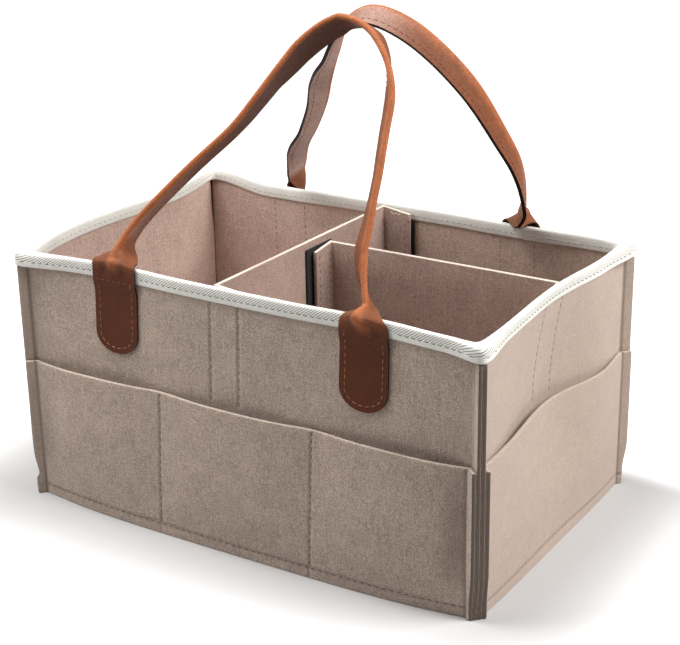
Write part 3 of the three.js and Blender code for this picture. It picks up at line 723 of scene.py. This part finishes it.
class Leather:
    """The strip of leather of one handle: tab, neck, folded arch, neck and tab."""

    # Each neck, in mm above the rim: where its fold starts and ends, and by where the strap is clear of the
    # wall, square to its arch and in line with the arch's lean
    NECKS = {
        ("front", "left"): (-3, 22, 7, 27, 24),
        ("front", "right"): (-8, 11, 9, 16, 8),
        ("rear", "left"): (-24, 6, 70, 16, 2),
        ("rear", "right"): (-14, 17, 15, 16, 2),
    }
    FOLD = math.radians(92.4)
    FLAT_RADIUS = 6.5 * MM
    SPINE_RADIUS = 1.3 * MM
    CREASE_LOW = 9 * MM  # dents on both sides of a neck's ridge, which they meet higher up
    CREASE_HIGH = 3 * MM
    CREASE_HALF = 2.4 * MM
    CREASE_DEPTH = 1.3 * MM
    DARK_NECK = {"left": 2 * MM, "right": -4 * MM}  # how far up the tab's dark colour is drawn
    # Painted shade on the front strap's leaves, from its left leg to the top
    PAINTED_SHADE_SHARE = {"front": 1, "rear": 0}
    # Painted sheen: a pale reflection on the leaves of the left legs, from near their necks part of the way
    # up
    PAINTED_SHEEN = {"front": 0.45, "rear": 1}
    PAINTED_SHEEN_STARTS = {"front": (15 * MM, 30 * MM), "rear": (4 * MM, 16 * MM)}
    PAINTED_SHEEN_ENDS = {"front": (0.12, 0.42), "rear": (0.3, 0.5)}  # shares of the strap's length
    CREST = {"front": 0, "rear": 0.65}  # painted highlight at the top of the arch
    CREST_AT = 0.52
    CREST_HALF = 0.05
    SAMPLES = 1500  # points that measure the arch
    FOOT_ROWS = 9  # cross sections of a tab's rounded end, of the rest of the tab, of a neck and of the arch
    TAB_ROWS = 18
    NECK_ROWS = 18
    ARCH_ROWS = 120
    NECK = 24 * MM
    TAB_TOP = RIM - 1.5 * MM

    def __init__(self, side, thickness):
        self.outward = OUTWARD[side]
        self.hinge = HINGE[side]
        self.turned = Matrix.Rotation(self.outward * LEAN[side], 3, "X")
        self.arch = ARCH[side]
        self.side = side
        self.thickness = thickness
        self.wall = bpy.data.objects[f"felt_{side}_wall"]
        points = [Vector((x * TAB_OFFSET, 0, z * HANDLE_RISE)) for x, z, _ in self.arch]
        self.places = [spline(points, i / self.SAMPLES) for i in range(self.SAMPLES + 1)]
        self.runs = [0.0]
        for a, b in zip(self.places, self.places[1:]):
            self.runs.append(self.runs[-1] + (b - a).length)
        self.length = self.runs[-1]

    def neck(self, hand):
        return [height * MM for height in self.NECKS[self.side, hand]]

    def folded(self, above_rim, hand):
        """How far the strip is folded at a distance above the rim, and how round and dented it is there."""
        starts, ends = self.neck(hand)[:2]
        share = soft_step(above_rim, starts, ends)
        return {
            "fold": share * self.FOLD,
            "radius": between(self.FLAT_RADIUS, self.SPINE_RADIUS, soft_step(share, 0, 0.8)),
            "crease": soft_step(above_rim, -9 * MM, -2 * MM) * (1 - share),
            "apart": between(self.CREASE_LOW, self.CREASE_HIGH, soft_step(above_rim, -6 * MM, 10 * MM)),
            "run": above_rim - self.DARK_NECK[hand],
        }

    def dent(self, row, reach):
        """How deep in a dent of the neck a point is, from 0 to 1."""
        return row["crease"] * math.exp(-((reach - row["apart"]) / self.CREASE_HALF) ** 2)

    def arch_row(self, run):
        """The strap's cross section at a distance along the arch."""
        index = next((i for i, r in enumerate(self.runs) if r >= run), len(self.runs) - 1)
        index = min(max(index, 1), len(self.runs) - 2)
        along = (self.places[index + 1] - self.places[index - 1]).normalized()
        gap = self.runs[index] - self.runs[index - 1]
        centre = self.places[index - 1].lerp(self.places[index], (run - self.runs[index - 1]) / gap)
        spot = index / (len(self.runs) - 1) * (len(self.arch) - 1)
        low = min(int(spot), len(self.arch) - 2)
        turn = between(self.arch[low][2], self.arch[low + 1][2], spot - low)
        from_end = min(run, self.length - run)
        climb = 1 if along.z >= 0 else -1
        square = Vector((along.z, 0, -along.x)) * self.outward
        level = Vector((climb * self.outward, 0, 0))
        flat_out = Vector((0, self.outward, 0))
        upright = soft_step(from_end, -4 * MM, 7 * MM)
        hand = "left" if run < self.length / 2 else "right"
        clear_at, square_at, leans_at = self.neck(hand)[2:]
        row = self.folded(from_end, hand)
        across = level.lerp(square, soft_step(from_end, 0, square_at))
        part = run / self.length
        # Painted sheen on the left legs and a painted highlight at the rear arch's crest
        bloom = soft_step(from_end, *self.PAINTED_SHEEN_STARTS[self.side]) * self.PAINTED_SHEEN[self.side]
        bloom *= 1 - soft_step(part, *self.PAINTED_SHEEN_ENDS[self.side])
        crest = self.CREST[self.side] * math.exp(-((part - self.CREST_AT) / self.CREST_HALF) ** 2)
        waxed = self.PAINTED_SHADE_SHARE[self.side] * soft_step(part, 0.05, 0.34) * (1 - soft_step(part, 0.5, 0.6))
        row.update(
            centre=self.hinge + centre.lerp(self.turned @ centre, soft_step(from_end, 0, leans_at)),
            across=(self.turned @ across).normalized(),
            out=flat_out.lerp(self.turned @ flat_out, upright).normalized(),
            turn=self.outward * math.radians(turn),
            half=HALF_STRAP,
            bulge=1 - soft_step(from_end, 0, clear_at),
            flat=False,
            waxed=waxed,
            bloom=max(bloom, crest),
        )
        return row

    def tab_row(self, hand, height):
        """The tab's cross section at a height on the wall."""
        way = 1 if hand == "left" else -1
        rounding_share = min(1, max(0, 1 - (height - TAB_FOOT) / TAB_ROUND))
        row = self.folded(height - RIM, hand)
        row.update(
            centre=Vector((self.hinge.x - way * TAB_OFFSET, self.hinge.y, height)),
            across=Vector((way * self.outward, 0, 0)),
            out=Vector((0, self.outward, 0)),
            turn=0,
            half=HALF_STRAP * math.sqrt(max(0, 1 - rounding_share ** 2)),
            bulge=1,
            flat=True,
            waxed=0,
            bloom=0,
        )
        return row

    def section(self, row, across, lift):
        """A point of the folded strip: to the side and out from the spine, and the way it faces."""
        reach = abs(across)
        bend = min(reach / row["radius"], row["fold"])
        straight = max(0, reach - row["radius"] * row["fold"])
        side = row["radius"] * math.sin(bend) + straight * math.cos(bend) + lift * math.sin(bend)
        depth = row["radius"] * (1 - math.cos(bend)) + straight * math.sin(bend) - lift * math.cos(bend)
        way = math.copysign(1, across)
        facing = Vector((way * math.sin(bend), math.cos(bend)))
        return Vector((way * side, -depth)) - facing * self.dent(row, reach) * self.CREASE_DEPTH, facing

    def point(self, row, across, lift=0):
        """A place on the leather, across the strip and off its middle, and the way it faces there."""
        flat, facing = self.section(row, across, lift)
        spun = Matrix.Rotation(row["turn"], 2)
        flat, facing = spun @ flat, spun @ facing
        flat.y -= self.section(row, HALF_STRAP, 0)[0].y * row["bulge"]
        place = row["centre"] + row["across"] * flat.x + row["out"] * flat.y
        normal = row["across"] * facing.x + row["out"] * facing.y
        if row["flat"]:
            start = Vector((place.x, self.outward * OUTSIDE, min(place.z, RIM - 3 * MM)))
            wall = hit(self.wall, start, Vector((0, -self.outward, 0)))[0]
            climb = soft_step(place.z, RIM - TAPE_DROP - TAB_STEP, RIM - TAPE_DROP)
            off = between(ON_FELT, ON_TAPE, climb) + flat.y
            place = Vector((place.x, wall.y + self.outward * off, place.z))
        return place, normal

    def rows(self):
        """Every cross section, from the foot of the left tab to the foot of the right one."""
        bend = TAB_FOOT + TAB_ROUND
        turns = [math.pi / 2 * k / self.FOOT_ROWS for k in range(1, self.FOOT_ROWS + 1)]
        heights = [bend - TAB_ROUND * math.cos(turn) for turn in turns]
        heights += steps(bend, self.TAB_TOP, (self.TAB_TOP - bend) / self.TAB_ROWS)[1:]
        neck = steps(0, self.NECK, self.NECK / self.NECK_ROWS)
        spare = self.length - 2 * self.NECK
        middle = steps(self.NECK, self.length - self.NECK, spare / self.ARCH_ROWS)[1:-1]
        runs = neck + middle + [self.length - n for n in reversed(neck)]
        rows = [self.tab_row("left", height) for height in heights]
        rows += [self.arch_row(run) for run in runs]
        return rows + [self.tab_row("right", height) for height in reversed(heights)]


# Where the lines of points lie across a strap, in mm from its fold
STRAP_COLUMNS = [0, 0.6, 1.2, 1.8, 2.4, 3, 3.6, 4.3, 5.4, 7.2, 9.2, 11.2, 13.2, 15, 16.5, 17.5]


class CADDY_OT_handles(bpy.types.Operator):
    """Model each handle as one strip of leather that folds lengthwise above its tabs"""
    bl_idname = "caddy.handles"
    bl_label = "Leather handles"

    def execute(self, context):
        look = context.scene.caddy.leather
        finishes = [leather_finish(look), edge_finish(look)]
        solid = {"thickness": look.thickness, "offset": 0, "use_even_offset": True}
        solid["material_offset_rim"] = 1
        for side in HANDLES:
            leather = Leather(side, look.thickness)
            strip = self.strip(leather, side)
            for finish in finishes:
                strip.data.materials.append(finish)
            apply(strip, ("SOLIDIFY", solid), rounding(0.3 * MM, 50), smoothing(1))
            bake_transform(strip)
            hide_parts(f"{side}_handle_strap", f"{side}_left_tab", f"{side}_right_tab")
        return {"FINISHED"}

    def strip(self, leather, side):
        rows = leather.rows()
        shares = [c / STRAP_COLUMNS[-1] for c in STRAP_COLUMNS]
        columns = [-s for s in reversed(shares[1:])] + shares
        bpy.ops.object.select_all(action="DESELECT")
        bpy.ops.mesh.primitive_grid_add(x_subdivisions=len(columns) - 1, y_subdivisions=len(rows) - 1, size=1)
        strip = bpy.context.object
        strip.name = strip.data.name = f"{side}_leather"
        marks = []
        for vertex in strip.data.vertices:
            column = columns[round((vertex.co.x + 0.5) * (len(columns) - 1))]
            row = rows[round((vertex.co.y + 0.5) * (len(rows) - 1))]
            across = column * row["half"]
            leaf = soft_step(abs(column), 0.1, 0.2)
            # Painted shade on the leaves away from the spine, and half as much in the necks' dents
            waxed = max(row["waxed"] * leaf, 0.5 * leather.dent(row, abs(across)))
            bloom = row["bloom"] * leaf
            marks.append({"run": row["run"], "spine": 1 - abs(column), "waxed": waxed, "bloom": bloom})
            vertex.co = leather.point(row, across)[0]
        for name in marks[0]:
            paint(strip.data, name, [mark[name] for mark in marks])
        return strip


DIVIDERS = ("cross_divider", "long_divider")
STRIPS = {
    "caddy_body": ("front_loop_strip", "rear_loop_strip", "right_loop_strip"),
    "cross_divider_body": ("divider_loop_strip", "cross_front_hook_strip", "cross_rear_hook_strip"),
    "long_divider_body": ("long_left_hook_strip", "long_right_hook_strip"),
}


class CADDY_OT_dividers(bpy.types.Operator):
    """Model the two dividers with their folded flanges"""
    bl_idname = "caddy.dividers"
    bl_label = "Dividers"

    # Axis square to each sheet, which end of its box the sheet lies at, and the room it takes there
    SHEETS = {"cross_divider": (0, 0, 10 * MM), "long_divider": (1, 1, 4 * MM)}
    SLOPE = 0.16  # fall of the flanges' tops
    SLOPE_FADE = 16 * MM

    def execute(self, context):
        look = context.scene.caddy.felt
        # The dividers get all of the painted highlight on faces that look up
        felt = felt_finish(look, look.divider_colour, 1)
        for node in DIVIDERS:
            obj = merged_copy(node, "felt_" + node)
            apply(obj, rounding(look.edge_round, 20, 3))
            self.slope_flanges(obj.data, node)
            paint(obj.data, "inner", [1] * len(obj.data.vertices))
            dress(obj, felt, f"{node}_body", "felt", node)
        return {"FINISHED"}

    def slope_flanges(self, mesh, node):
        """Lowers the top of the flanges towards their free edges."""
        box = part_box(node)
        axis, side, room = self.SHEETS[node]
        for vertex in mesh.vertices:
            out = max(0, abs(vertex.co[axis] - box[side][axis]) - room)
            vertex.co.z -= self.SLOPE * out * soft_step(vertex.co.z, box[1].z - self.SLOPE_FADE, box[1].z)
        mesh.update()


class CADDY_OT_strips(bpy.types.Operator):
    """Model the hook-and-loop strips on the walls, the cross divider and the flanges"""
    bl_idname = "caddy.strips"
    bl_label = "Hook-and-loop strips"

    SHOWS_MORE = 3 * MM  # how far the strip on the cross divider is widened

    def execute(self, context):
        black = strip_finish()
        for body, nodes in STRIPS.items():
            for node in nodes:
                obj = merged_copy(node, "pile_" + node)
                apply(obj, rounding(0.25 * MM, 50), smoothing(1))
                if node == "divider_loop_strip":
                    self.widen(obj.data, *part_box(node))
                dress(obj, black, body, "hook_and_loop", node)
        return {"FINISHED"}

    def widen(self, mesh, low, high):
        """Moves the front edge of an upright strip forward, so that it shows past the flange on it."""
        for vertex in mesh.vertices:
            if vertex.co.y < (low.y + high.y) / 2:
                vertex.co.y -= self.SHOWS_MORE
        mesh.update()


class Sewing:
    """Rows of stitches, each a copy of one stitch that dips into the cloth at both ends."""

    LENGTH = 3.4 * MM
    DIPS_FROM = 0.42  # share of its length, from its middle to where a stitch dips
    DIP = 0.45  # share of its thickness
    WOBBLE = 0.09
    WOBBLE_STEP = 12.9898

    def __init__(self, thickness):
        bpy.ops.object.select_all(action="DESELECT")
        lying = (0, math.pi / 2, 0)
        bpy.ops.mesh.primitive_uv_sphere_add(segments=6, ring_count=5, radius=0.5, rotation=lying)
        self.model = bpy.context.object
        bpy.ops.object.transform_apply(location=False, rotation=True, scale=False)
        edit(self.model)
        bpy.ops.transform.resize(value=(self.LENGTH, thickness, thickness))
        bpy.ops.mesh.select_all(action="DESELECT")
        leave()
        for vertex in self.model.data.vertices:
            vertex.select = abs(vertex.co.x) > self.LENGTH * self.DIPS_FROM
        bpy.ops.object.mode_set(mode="EDIT")
        bpy.ops.transform.translate(value=(0, 0, -self.DIP * thickness))
        leave()
        bpy.ops.object.shade_smooth()

    def row(self, name, spots, material, body, slot):
        """One piece out of a stitch at each spot: its place, the way it runs and the way the cloth faces."""
        copies = []
        for count, (place, along, normal) in enumerate(spots):
            wobble = math.sin(count * self.WOBBLE_STEP + len(spots)) * self.WOBBLE
            ahead = (along - normal * along.dot(normal)).normalized()
            side = normal.cross(ahead)
            ahead = (ahead + side * wobble).normalized()
            side = normal.cross(ahead)
            turned = Matrix((ahead, side, normal)).transposed().to_4x4()
            mesh = self.model.data.copy()
            mesh.transform(Matrix.Translation(place) @ turned)
            copies.append(bpy.data.objects.new(name, mesh))
            bpy.context.scene.collection.objects.link(copies[-1])
        only(copies[0])
        for copy in copies:
            copy.select_set(True)
        bpy.ops.object.join()
        joined = bpy.context.object
        joined.name = joined.data.name = name
        joined.data.materials.append(material)
        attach(joined, body)

    def put_away(self):
        bpy.data.objects.remove(self.model)


def steps(low, high, pitch):
    """Evenly spaced numbers from low to high, about a pitch apart."""
    count = max(1, round((high - low) / pitch))
    return [low + (high - low) * k / count for k in range(count + 1)]


def sewn(piece, way, along, lines):
    """Spots where straight lines from the given places, going a certain way, meet a piece."""
    spots = []
    for start in lines:
        place, normal = hit(bpy.data.objects[piece], start, way)
        spots.append((place, along, normal))
    return spots


class CADDY_OT_felt_seams(bpy.types.Operator):
    """Sew the hem, the pocket seams, the strips and the lines behind the tabs"""
    bl_idname = "caddy.felt_seams"
    bl_label = "Seams of the felt"

    PITCH = 5.2 * MM
    POCKET_ROW = (11 * MM, POCKET_HEIGHT - 2 * MM)  # lowest and highest stitch of the upright rows
    TAB_ROW = (127 * MM, 168 * MM)
    STRIP_ROW = (106 * MM, 170 * MM)

    def execute(self, context):
        look = context.scene.caddy.thread
        self.sewing = Sewing(look.thickness)
        # Thread colours darker than the felt paint the shade of the needle holes; on the right side they are
        # paler, where the lamp falls
        self.thread = thread_finish("felt_thread", look.felt_colour)
        self.faint = thread_finish("strip_thread", look.strip_thread_shade_colour)
        self.soft = thread_finish("soft_thread", look.lit_side_thread_colour)
        for side in SIDES:
            self.hem(side)
        for side in HANDLES:
            for x in (-POCKET_SEAM, POCKET_SEAM):
                name = f"seam_{side}_pocket_{'left' if x < 0 else 'right'}"
                panel = f"felt_{side}_pocket_panel"
                self.column(name, panel, SIDES[side], x, self.POCKET_ROW, self.thread)
            for x in (-TAB_OFFSET, TAB_OFFSET):
                for edge in (TAB_SEAM - HALF_STRAP, HALF_STRAP - TAB_SEAM):
                    name = f"seam_{side}_tab_{round((x + edge) / MM)}"
                    spot = HINGE[side].x - MIDDLE.x + x + edge
                    self.column(name, f"felt_{side}_wall", SIDES[side] * -1, spot, self.TAB_ROW, self.faint)
        for side, (middle, half) in PAIRS.items():
            for edge in (-half, half):
                name = f"seam_{side}_strip_{'low' if edge < 0 else 'high'}"
                # The right side takes the paler, lit copy of the thread
                thread = self.soft if side == "right" else self.faint
                self.column(name, f"felt_{side}_wall", SIDES[side], middle + edge, self.STRIP_ROW, thread)
        self.sewing.put_away()
        return {"FINISHED"}

    def hem(self, side):
        outward = SIDES[side]
        along = Vector((-outward.y, outward.x, 0))
        reach = (HALF_LENGTH if outward.y else HALF_DEPTH) - 5 * MM
        start = MIDDLE + outward * OUTSIDE + UP * HEM
        lines = [start + along * run for run in steps(-reach, reach, self.PITCH)]
        spots = sewn(f"felt_{side}_pocket_panel", outward * -1, along, lines)
        # The right side takes the paler, lit copy of the thread
        thread = self.soft if side == "right" else self.thread
        self.sewing.row(f"seam_{side}_hem", spots, thread, "caddy_body", "felt")

    def column(self, name, piece, facing, run, heights, thread):
        """An upright row on the face of a panel that looks a certain way."""
        along = Vector((abs(facing.y), abs(facing.x), 0))
        outer = SIDES[piece.split("_")[1]].dot(facing) > 0
        start = MIDDLE + facing * (OUTSIDE if outer else INSIDE) + along * run
        lines = [start + UP * height for height in steps(*heights, self.PITCH)]
        spots = sewn(piece, facing * -1, UP, lines)
        self.sewing.row(name, spots, thread, "caddy_body", "felt")


class CADDY_OT_tape_seam(bpy.types.Operator):
    """Sew the tape to the rim, outside and inside"""
    bl_idname = "caddy.tape_seam"
    bl_label = "Seam of the tape"

    PITCH = 4.8 * MM
    AWAY = 30 * MM  # from the rim to where the lines that look for the tape start

    def execute(self, context):
        look = context.scene.caddy.thread
        sewing = Sewing(look.thickness)
        # The inside row takes the paler, lit copy of the tape thread
        threads = {1: thread_finish("tape_thread", look.tape_colour),
                   -1: thread_finish("inside_thread", look.lit_inside_thread_colour)}
        tape = bpy.data.objects["rim_tape"]
        for name, way in {"tape_seam_outside": 1, "tape_seam_inside": -1}.items():
            spots = []
            for run in steps(0, RIM_LENGTH, self.PITCH)[:-1]:
                point, out = rim_point(run)
                raised = corner_rise(MIDDLE + point + UP * RIM)
                start = MIDDLE + point + out * way * self.AWAY + UP * (TAPE_SEAM + raised)
                under_tab = abs(abs(start.x - HINGE["front"].x) - TAB_OFFSET) < HALF_STRAP + 3 * MM
                if way > 0 and under_tab and abs(out.y) > 0.9:
                    continue
                place, normal = hit(tape, start, out * -way)
                spots.append((place, Vector((-out.y, out.x, 0)), normal))
            sewing.row(name, spots, threads[way], "caddy_body", "tape")
        sewing.put_away()
        return {"FINISHED"}


class CADDY_OT_leather_seams(bpy.types.Operator):
    """Sew the tabs to the walls and the straps together along their open edges"""
    bl_idname = "caddy.leather_seams"
    bl_label = "Seams of the leather"

    PITCH = 4.7 * MM
    STRAP_SEAM = 3.6 * MM  # from the edge of a strap
    STRAP_END = 17 * MM  # from the rim
    FINE = 0.5 * MM  # between the points of a tab's outline
    FINE_TURN = 0.02

    def execute(self, context):
        look = context.scene.caddy.thread
        sewing = Sewing(look.thickness * 0.75)
        tab_thread = thread_finish("tab_thread", look.tab_colour)
        strap_thread = thread_finish("strap_thread", look.strap_colour)
        across = HALF_STRAP - TAB_SEAM
        top = [(x, TAB_SEAM_TOP + 2 * MM) for x in steps(-across, across, self.PITCH)]
        for side in HANDLES:
            leather = Leather(side, context.scene.caddy.leather.thickness)
            for hand in HANDS:
                spots = self.follow(leather, hand, self.outline())
                sewing.row(f"seam_{side}_{hand}_tab", spots, tab_thread, "caddy_body", "leather")
                spots = self.follow(leather, hand, top)
                sewing.row(f"seam_{side}_{hand}_tab_top", spots, strap_thread, "caddy_body", "leather")
            for leaf in (-1, 1):
                name = f"seam_{side}_strap_{'first' if leaf < 0 else 'second'}_leaf"
                sewing.row(name, self.strap(leather, leaf), strap_thread, f"{side}_handle", "leather")
        sewing.put_away()
        return {"FINISHED"}

    def outline(self):
        """Down one side of a tab, round its foot and up the other side, as places across and up."""
        half = HALF_STRAP - TAB_SEAM
        bend = TAB_FOOT + TAB_ROUND
        drop = TAB_ROUND - TAB_SEAM
        heights = steps(bend, TAB_SEAM_TOP, self.FINE)
        turns = steps(0, math.pi, self.FINE_TURN)[1:-1]
        path = [(-half, z) for z in reversed(heights)]
        path += [(-half * math.cos(turn), bend - drop * math.sin(turn)) for turn in turns]
        path += [(half, z) for z in heights]
        spots = [path[0]]
        gone = 0
        for a, b in zip(path, path[1:]):
            gone += math.dist(a, b)
            if gone >= self.PITCH:
                spots.append(b)
                gone -= self.PITCH
        return spots

    def follow(self, leather, hand, path):
        """Spots on the face of a tab for places across and up, each stitch running on to the next."""
        lift = leather.thickness / 2
        found = [leather.point(leather.tab_row(hand, z), x, lift) for x, z in path]
        spots = []
        for count, (place, normal) in enumerate(found):
            before = found[max(0, count - 1)][0]
            after = found[min(len(found) - 1, count + 1)][0]
            spots.append((place, after - before, normal))
        return spots

    def strap(self, leather, leaf):
        across = leaf * (HALF_STRAP - self.STRAP_SEAM)
        lift = leather.thickness / 2
        spots = []
        for run in steps(self.STRAP_END, leather.length - self.STRAP_END, self.PITCH):
            place, normal = leather.point(leather.arch_row(run), across, lift)
            ahead = leather.point(leather.arch_row(run + 1 * MM), across, lift)[0]
            spots.append((place, ahead - place, normal))
        return spots


class CADDY_OT_divider_seams(bpy.types.Operator):
    """Sew the hook strips to the flanges of the dividers"""
    bl_idname = "caddy.divider_seams"
    bl_label = "Seams of the dividers"

    PITCH = 5.2 * MM
    EDGE = 2.2 * MM  # from the edge of a hook strip to its seam
    END = 2 * MM  # and from its ends
    AWAY = 25 * MM  # from a hook strip to where the lines that look for its flange start
    TACK_DROP = 4.5 * MM
    TACK_PITCH = 1.9 * MM
    TACK_SLANT = 0.8
    FLANGES = {
        "cross_front_hook_strip": ("cross_divider", "front"),
        "cross_rear_hook_strip": ("cross_divider", "rear"),
        "long_left_hook_strip": ("long_divider", "left"),
        "long_right_hook_strip": ("long_divider", "right"),
    }

    def execute(self, context):
        look = context.scene.caddy.thread
        sewing = Sewing(look.thickness)
        thread = thread_finish("divider_thread", look.felt_colour)
        for node, (divider, side) in self.FLANGES.items():
            way = SIDES[side]
            low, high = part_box(node)
            along = Vector((abs(way.y), abs(way.x), 0))
            middle = (low + high) / 2
            half = abs((high - low).dot(along)) / 2 - self.EDGE
            heights = steps(low.z + self.END, high.z - self.END, self.PITCH)
            for edge in (-half, half):
                start = middle - way * self.AWAY + along * edge
                lines = [Vector((start.x, start.y, z)) for z in heights]
                spots = sewn(f"felt_{divider}", way, UP, lines)
                name = f"seam_{node.replace('_hook_strip', '')}_flange_{'low' if edge < 0 else 'high'}"
                sewing.row(name, spots, thread, f"{divider}_body", "felt")
        self.tack(sewing, thread_finish("tack_thread", look.tack_colour))
        sewing.put_away()
        return {"FINISHED"}

    def tack(self, sewing, thread):
        """A few crossed stitches at the top of the cross divider's rear flange."""
        low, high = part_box("cross_rear_hook_strip")
        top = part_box("cross_divider")[1].z - self.TACK_DROP
        spots = []
        for count in range(4):
            across = (low.x + high.x) / 2 + (count - 1.5) * self.TACK_PITCH
            start = Vector((across, low.y - self.AWAY, top))
            slant = Vector((1, 0, self.TACK_SLANT if count % 2 else -self.TACK_SLANT))
            spots += sewn("felt_cross_divider", SIDES["rear"], slant, [start])
        sewing.row("seam_cross_rear_tack", spots, thread, "cross_divider_body", "felt")


class CADDY_OT_stage(bpy.types.Operator):
    """Set the floor, the lamps and the camera"""
    bl_idname = "caddy.stage"
    bl_label = "Studio"

    FLOOR = 7  # radius of the floor
    FLOOR_RING = 3
    GLOW = (0.02, 0.15)  # from the caddy to where the floor starts to glow, and to where it is white
    GLOW_BEHIND = 4  # how much sooner it does so behind the caddy
    LAMPS = {  # place, aim and width
        "key": ((1.2, 0.3, 1.15), (0.1, 0, 0.1), 1.1),
        "top": ((-0.28, -0.18, 0.95), (-0.14, 0.05, 0.1), 0.5),
        "fill": ((-0.62, -0.5, 0.55), (-0.2, -0.1, 0.09), 0.5),
    }
    CAMERA_TURN = (32.163, 21.218, -0.991)  # round the caddy, above it and tilt, in degrees
    CAMERA_AIM = Vector((11.3, 0, 127.8)) * MM
    CAMERA_DISTANCE = 1.12834
    LENS = 86.34
    SENSOR = 36

    def execute(self, context):
        look = context.scene.caddy.stage
        scene = context.scene
        scene.view_settings.view_transform = "Standard"
        self.floor(look)
        self.sky(scene, look)
        for name, (place, aim, width) in self.LAMPS.items():
            self.lamp(name, place, aim, width, getattr(look, name))
        self.camera(scene)
        return {"FINISHED"}

    def floor(self, look):
        bpy.ops.object.select_all(action="DESELECT")
        bpy.ops.mesh.primitive_circle_add(vertices=96, radius=1, fill_type="NGON")
        floor = bpy.context.object
        floor.name = "studio_floor"
        edit(floor)
        bpy.ops.transform.resize(value=(self.FLOOR, self.FLOOR, 1))
        bpy.ops.mesh.inset(thickness=self.FLOOR_RING)
        leave()
        f = Finish("studio_floor")
        seen = f.seen()
        grain = f.noise(f.place(), 3, 2, 0.5)
        colour = f.tones(grain, look.floor_colour, 0.985, 1.015)
        matte = f.make("BsdfDiffuse", None, {"Color": colour})
        x, y, _ = f.axes(f.place())
        beside = x.sum("MAXIMUM", abs(x) - HALF_LENGTH, 0)
        before = y.sum("MAXIMUM", 0 - y - HALF_DEPTH, 0)
        behind = y.sum("MAXIMUM", y - HALF_DEPTH, 0)
        gap = f.make("CombineXYZ", None, {0: beside, 1: before + behind * self.GLOW_BEHIND})
        away = f.make("VectorMath", {"operation": "LENGTH"}, {0: gap}, "Value")
        far = f.step(away, *self.GLOW)
        glow = f.make("Emission", None, {"Strength": seen * far * look.floor_glow})
        both = f.make("AddShader", None, {0: matte, 1: glow})
        f.make("OutputMaterial", None, {"Surface": both})
        floor.data.materials.append(f.material)

    def sky(self, scene, look):
        world = bpy.data.worlds.new("studio_sky")
        world.use_nodes = True
        scene.world = world
        f = Finish("studio_sky", world.node_tree)
        seen = f.seen()
        strength = look.sky + seen * (1 - look.sky)
        sky = f.make("Background", None, {"Color": (1, 1, 1, 1), "Strength": strength})
        f.make("OutputWorld", None, {"Surface": sky})

    def lamp(self, name, place, aim, size, power):
        lamp = bpy.data.lights.new(name, "AREA")
        lamp.shape = "DISK"
        lamp.size = size
        lamp.energy = power
        obj = bpy.data.objects.new(name, lamp)
        bpy.context.scene.collection.objects.link(obj)
        obj.location = place
        obj.rotation_euler = (Vector(aim) - Vector(place)).to_track_quat("-Z", "Y").to_euler()

    def camera(self, scene):
        azimuth, elevation, roll = (math.radians(angle) for angle in self.CAMERA_TURN)
        back = Vector((math.sin(azimuth) * math.cos(elevation), -math.cos(azimuth) * math.cos(elevation),
                       math.sin(elevation)))
        right = Vector((math.cos(azimuth), math.sin(azimuth), 0))
        up = back.cross(right)
        tilted_right = right * math.cos(roll) + up * math.sin(roll)
        tilted_up = up * math.cos(roll) - right * math.sin(roll)
        data = bpy.data.cameras.new("camera")
        data.lens = self.LENS
        data.sensor_width = self.SENSOR
        data.sensor_fit = "HORIZONTAL"
        camera = bpy.data.objects.new("camera", data)
        scene.collection.objects.link(camera)
        eye = MIDDLE + self.CAMERA_AIM + back * self.CAMERA_DISTANCE
        turned = Matrix((tilted_right, tilted_up, back)).transposed().to_4x4()
        camera.matrix_world = Matrix.Translation(eye) @ turned
        scene.camera = camera


class CADDY_PT_panel(bpy.types.Panel):
    """Lists the steps that build the caddy"""
    bl_idname = "CADDY_PT_panel"
    bl_label = "Felt storage caddy"
    bl_space_type = "VIEW_3D"
    bl_region_type = "UI"
    bl_category = "Caddy"

    def draw(self, context):
        for step in STEPS:
            self.layout.operator(step.bl_idname)


STEPS = [
    CADDY_OT_felt, CADDY_OT_tape, CADDY_OT_handles, CADDY_OT_dividers, CADDY_OT_strips, CADDY_OT_felt_seams,
    CADDY_OT_tape_seam, CADDY_OT_leather_seams, CADDY_OT_divider_seams, CADDY_OT_stage,
]
CLASSES = [CaddyFelt, CaddyTape, CaddyLeather, CaddyThread, CaddyStage, CaddySettings, *STEPS, CADDY_PT_panel]


def register():
    for item in CLASSES:
        bpy.utils.register_class(item)
    bpy.types.Scene.caddy = PointerProperty(type=CaddySettings)


def unregister():
    del bpy.types.Scene.caddy
    for item in reversed(CLASSES):
        bpy.utils.unregister_class(item)


def main():
    register()
    bpy.ops.caddy.felt()
    bpy.ops.caddy.tape()
    bpy.ops.caddy.handles()
    bpy.ops.caddy.dividers()
    bpy.ops.caddy.strips()
    bpy.ops.caddy.felt_seams()
    bpy.ops.caddy.tape_seam()
    bpy.ops.caddy.leather_seams()
    bpy.ops.caddy.divider_seams()
    bpy.ops.caddy.stage()


if __name__ == "__main__":
    main()
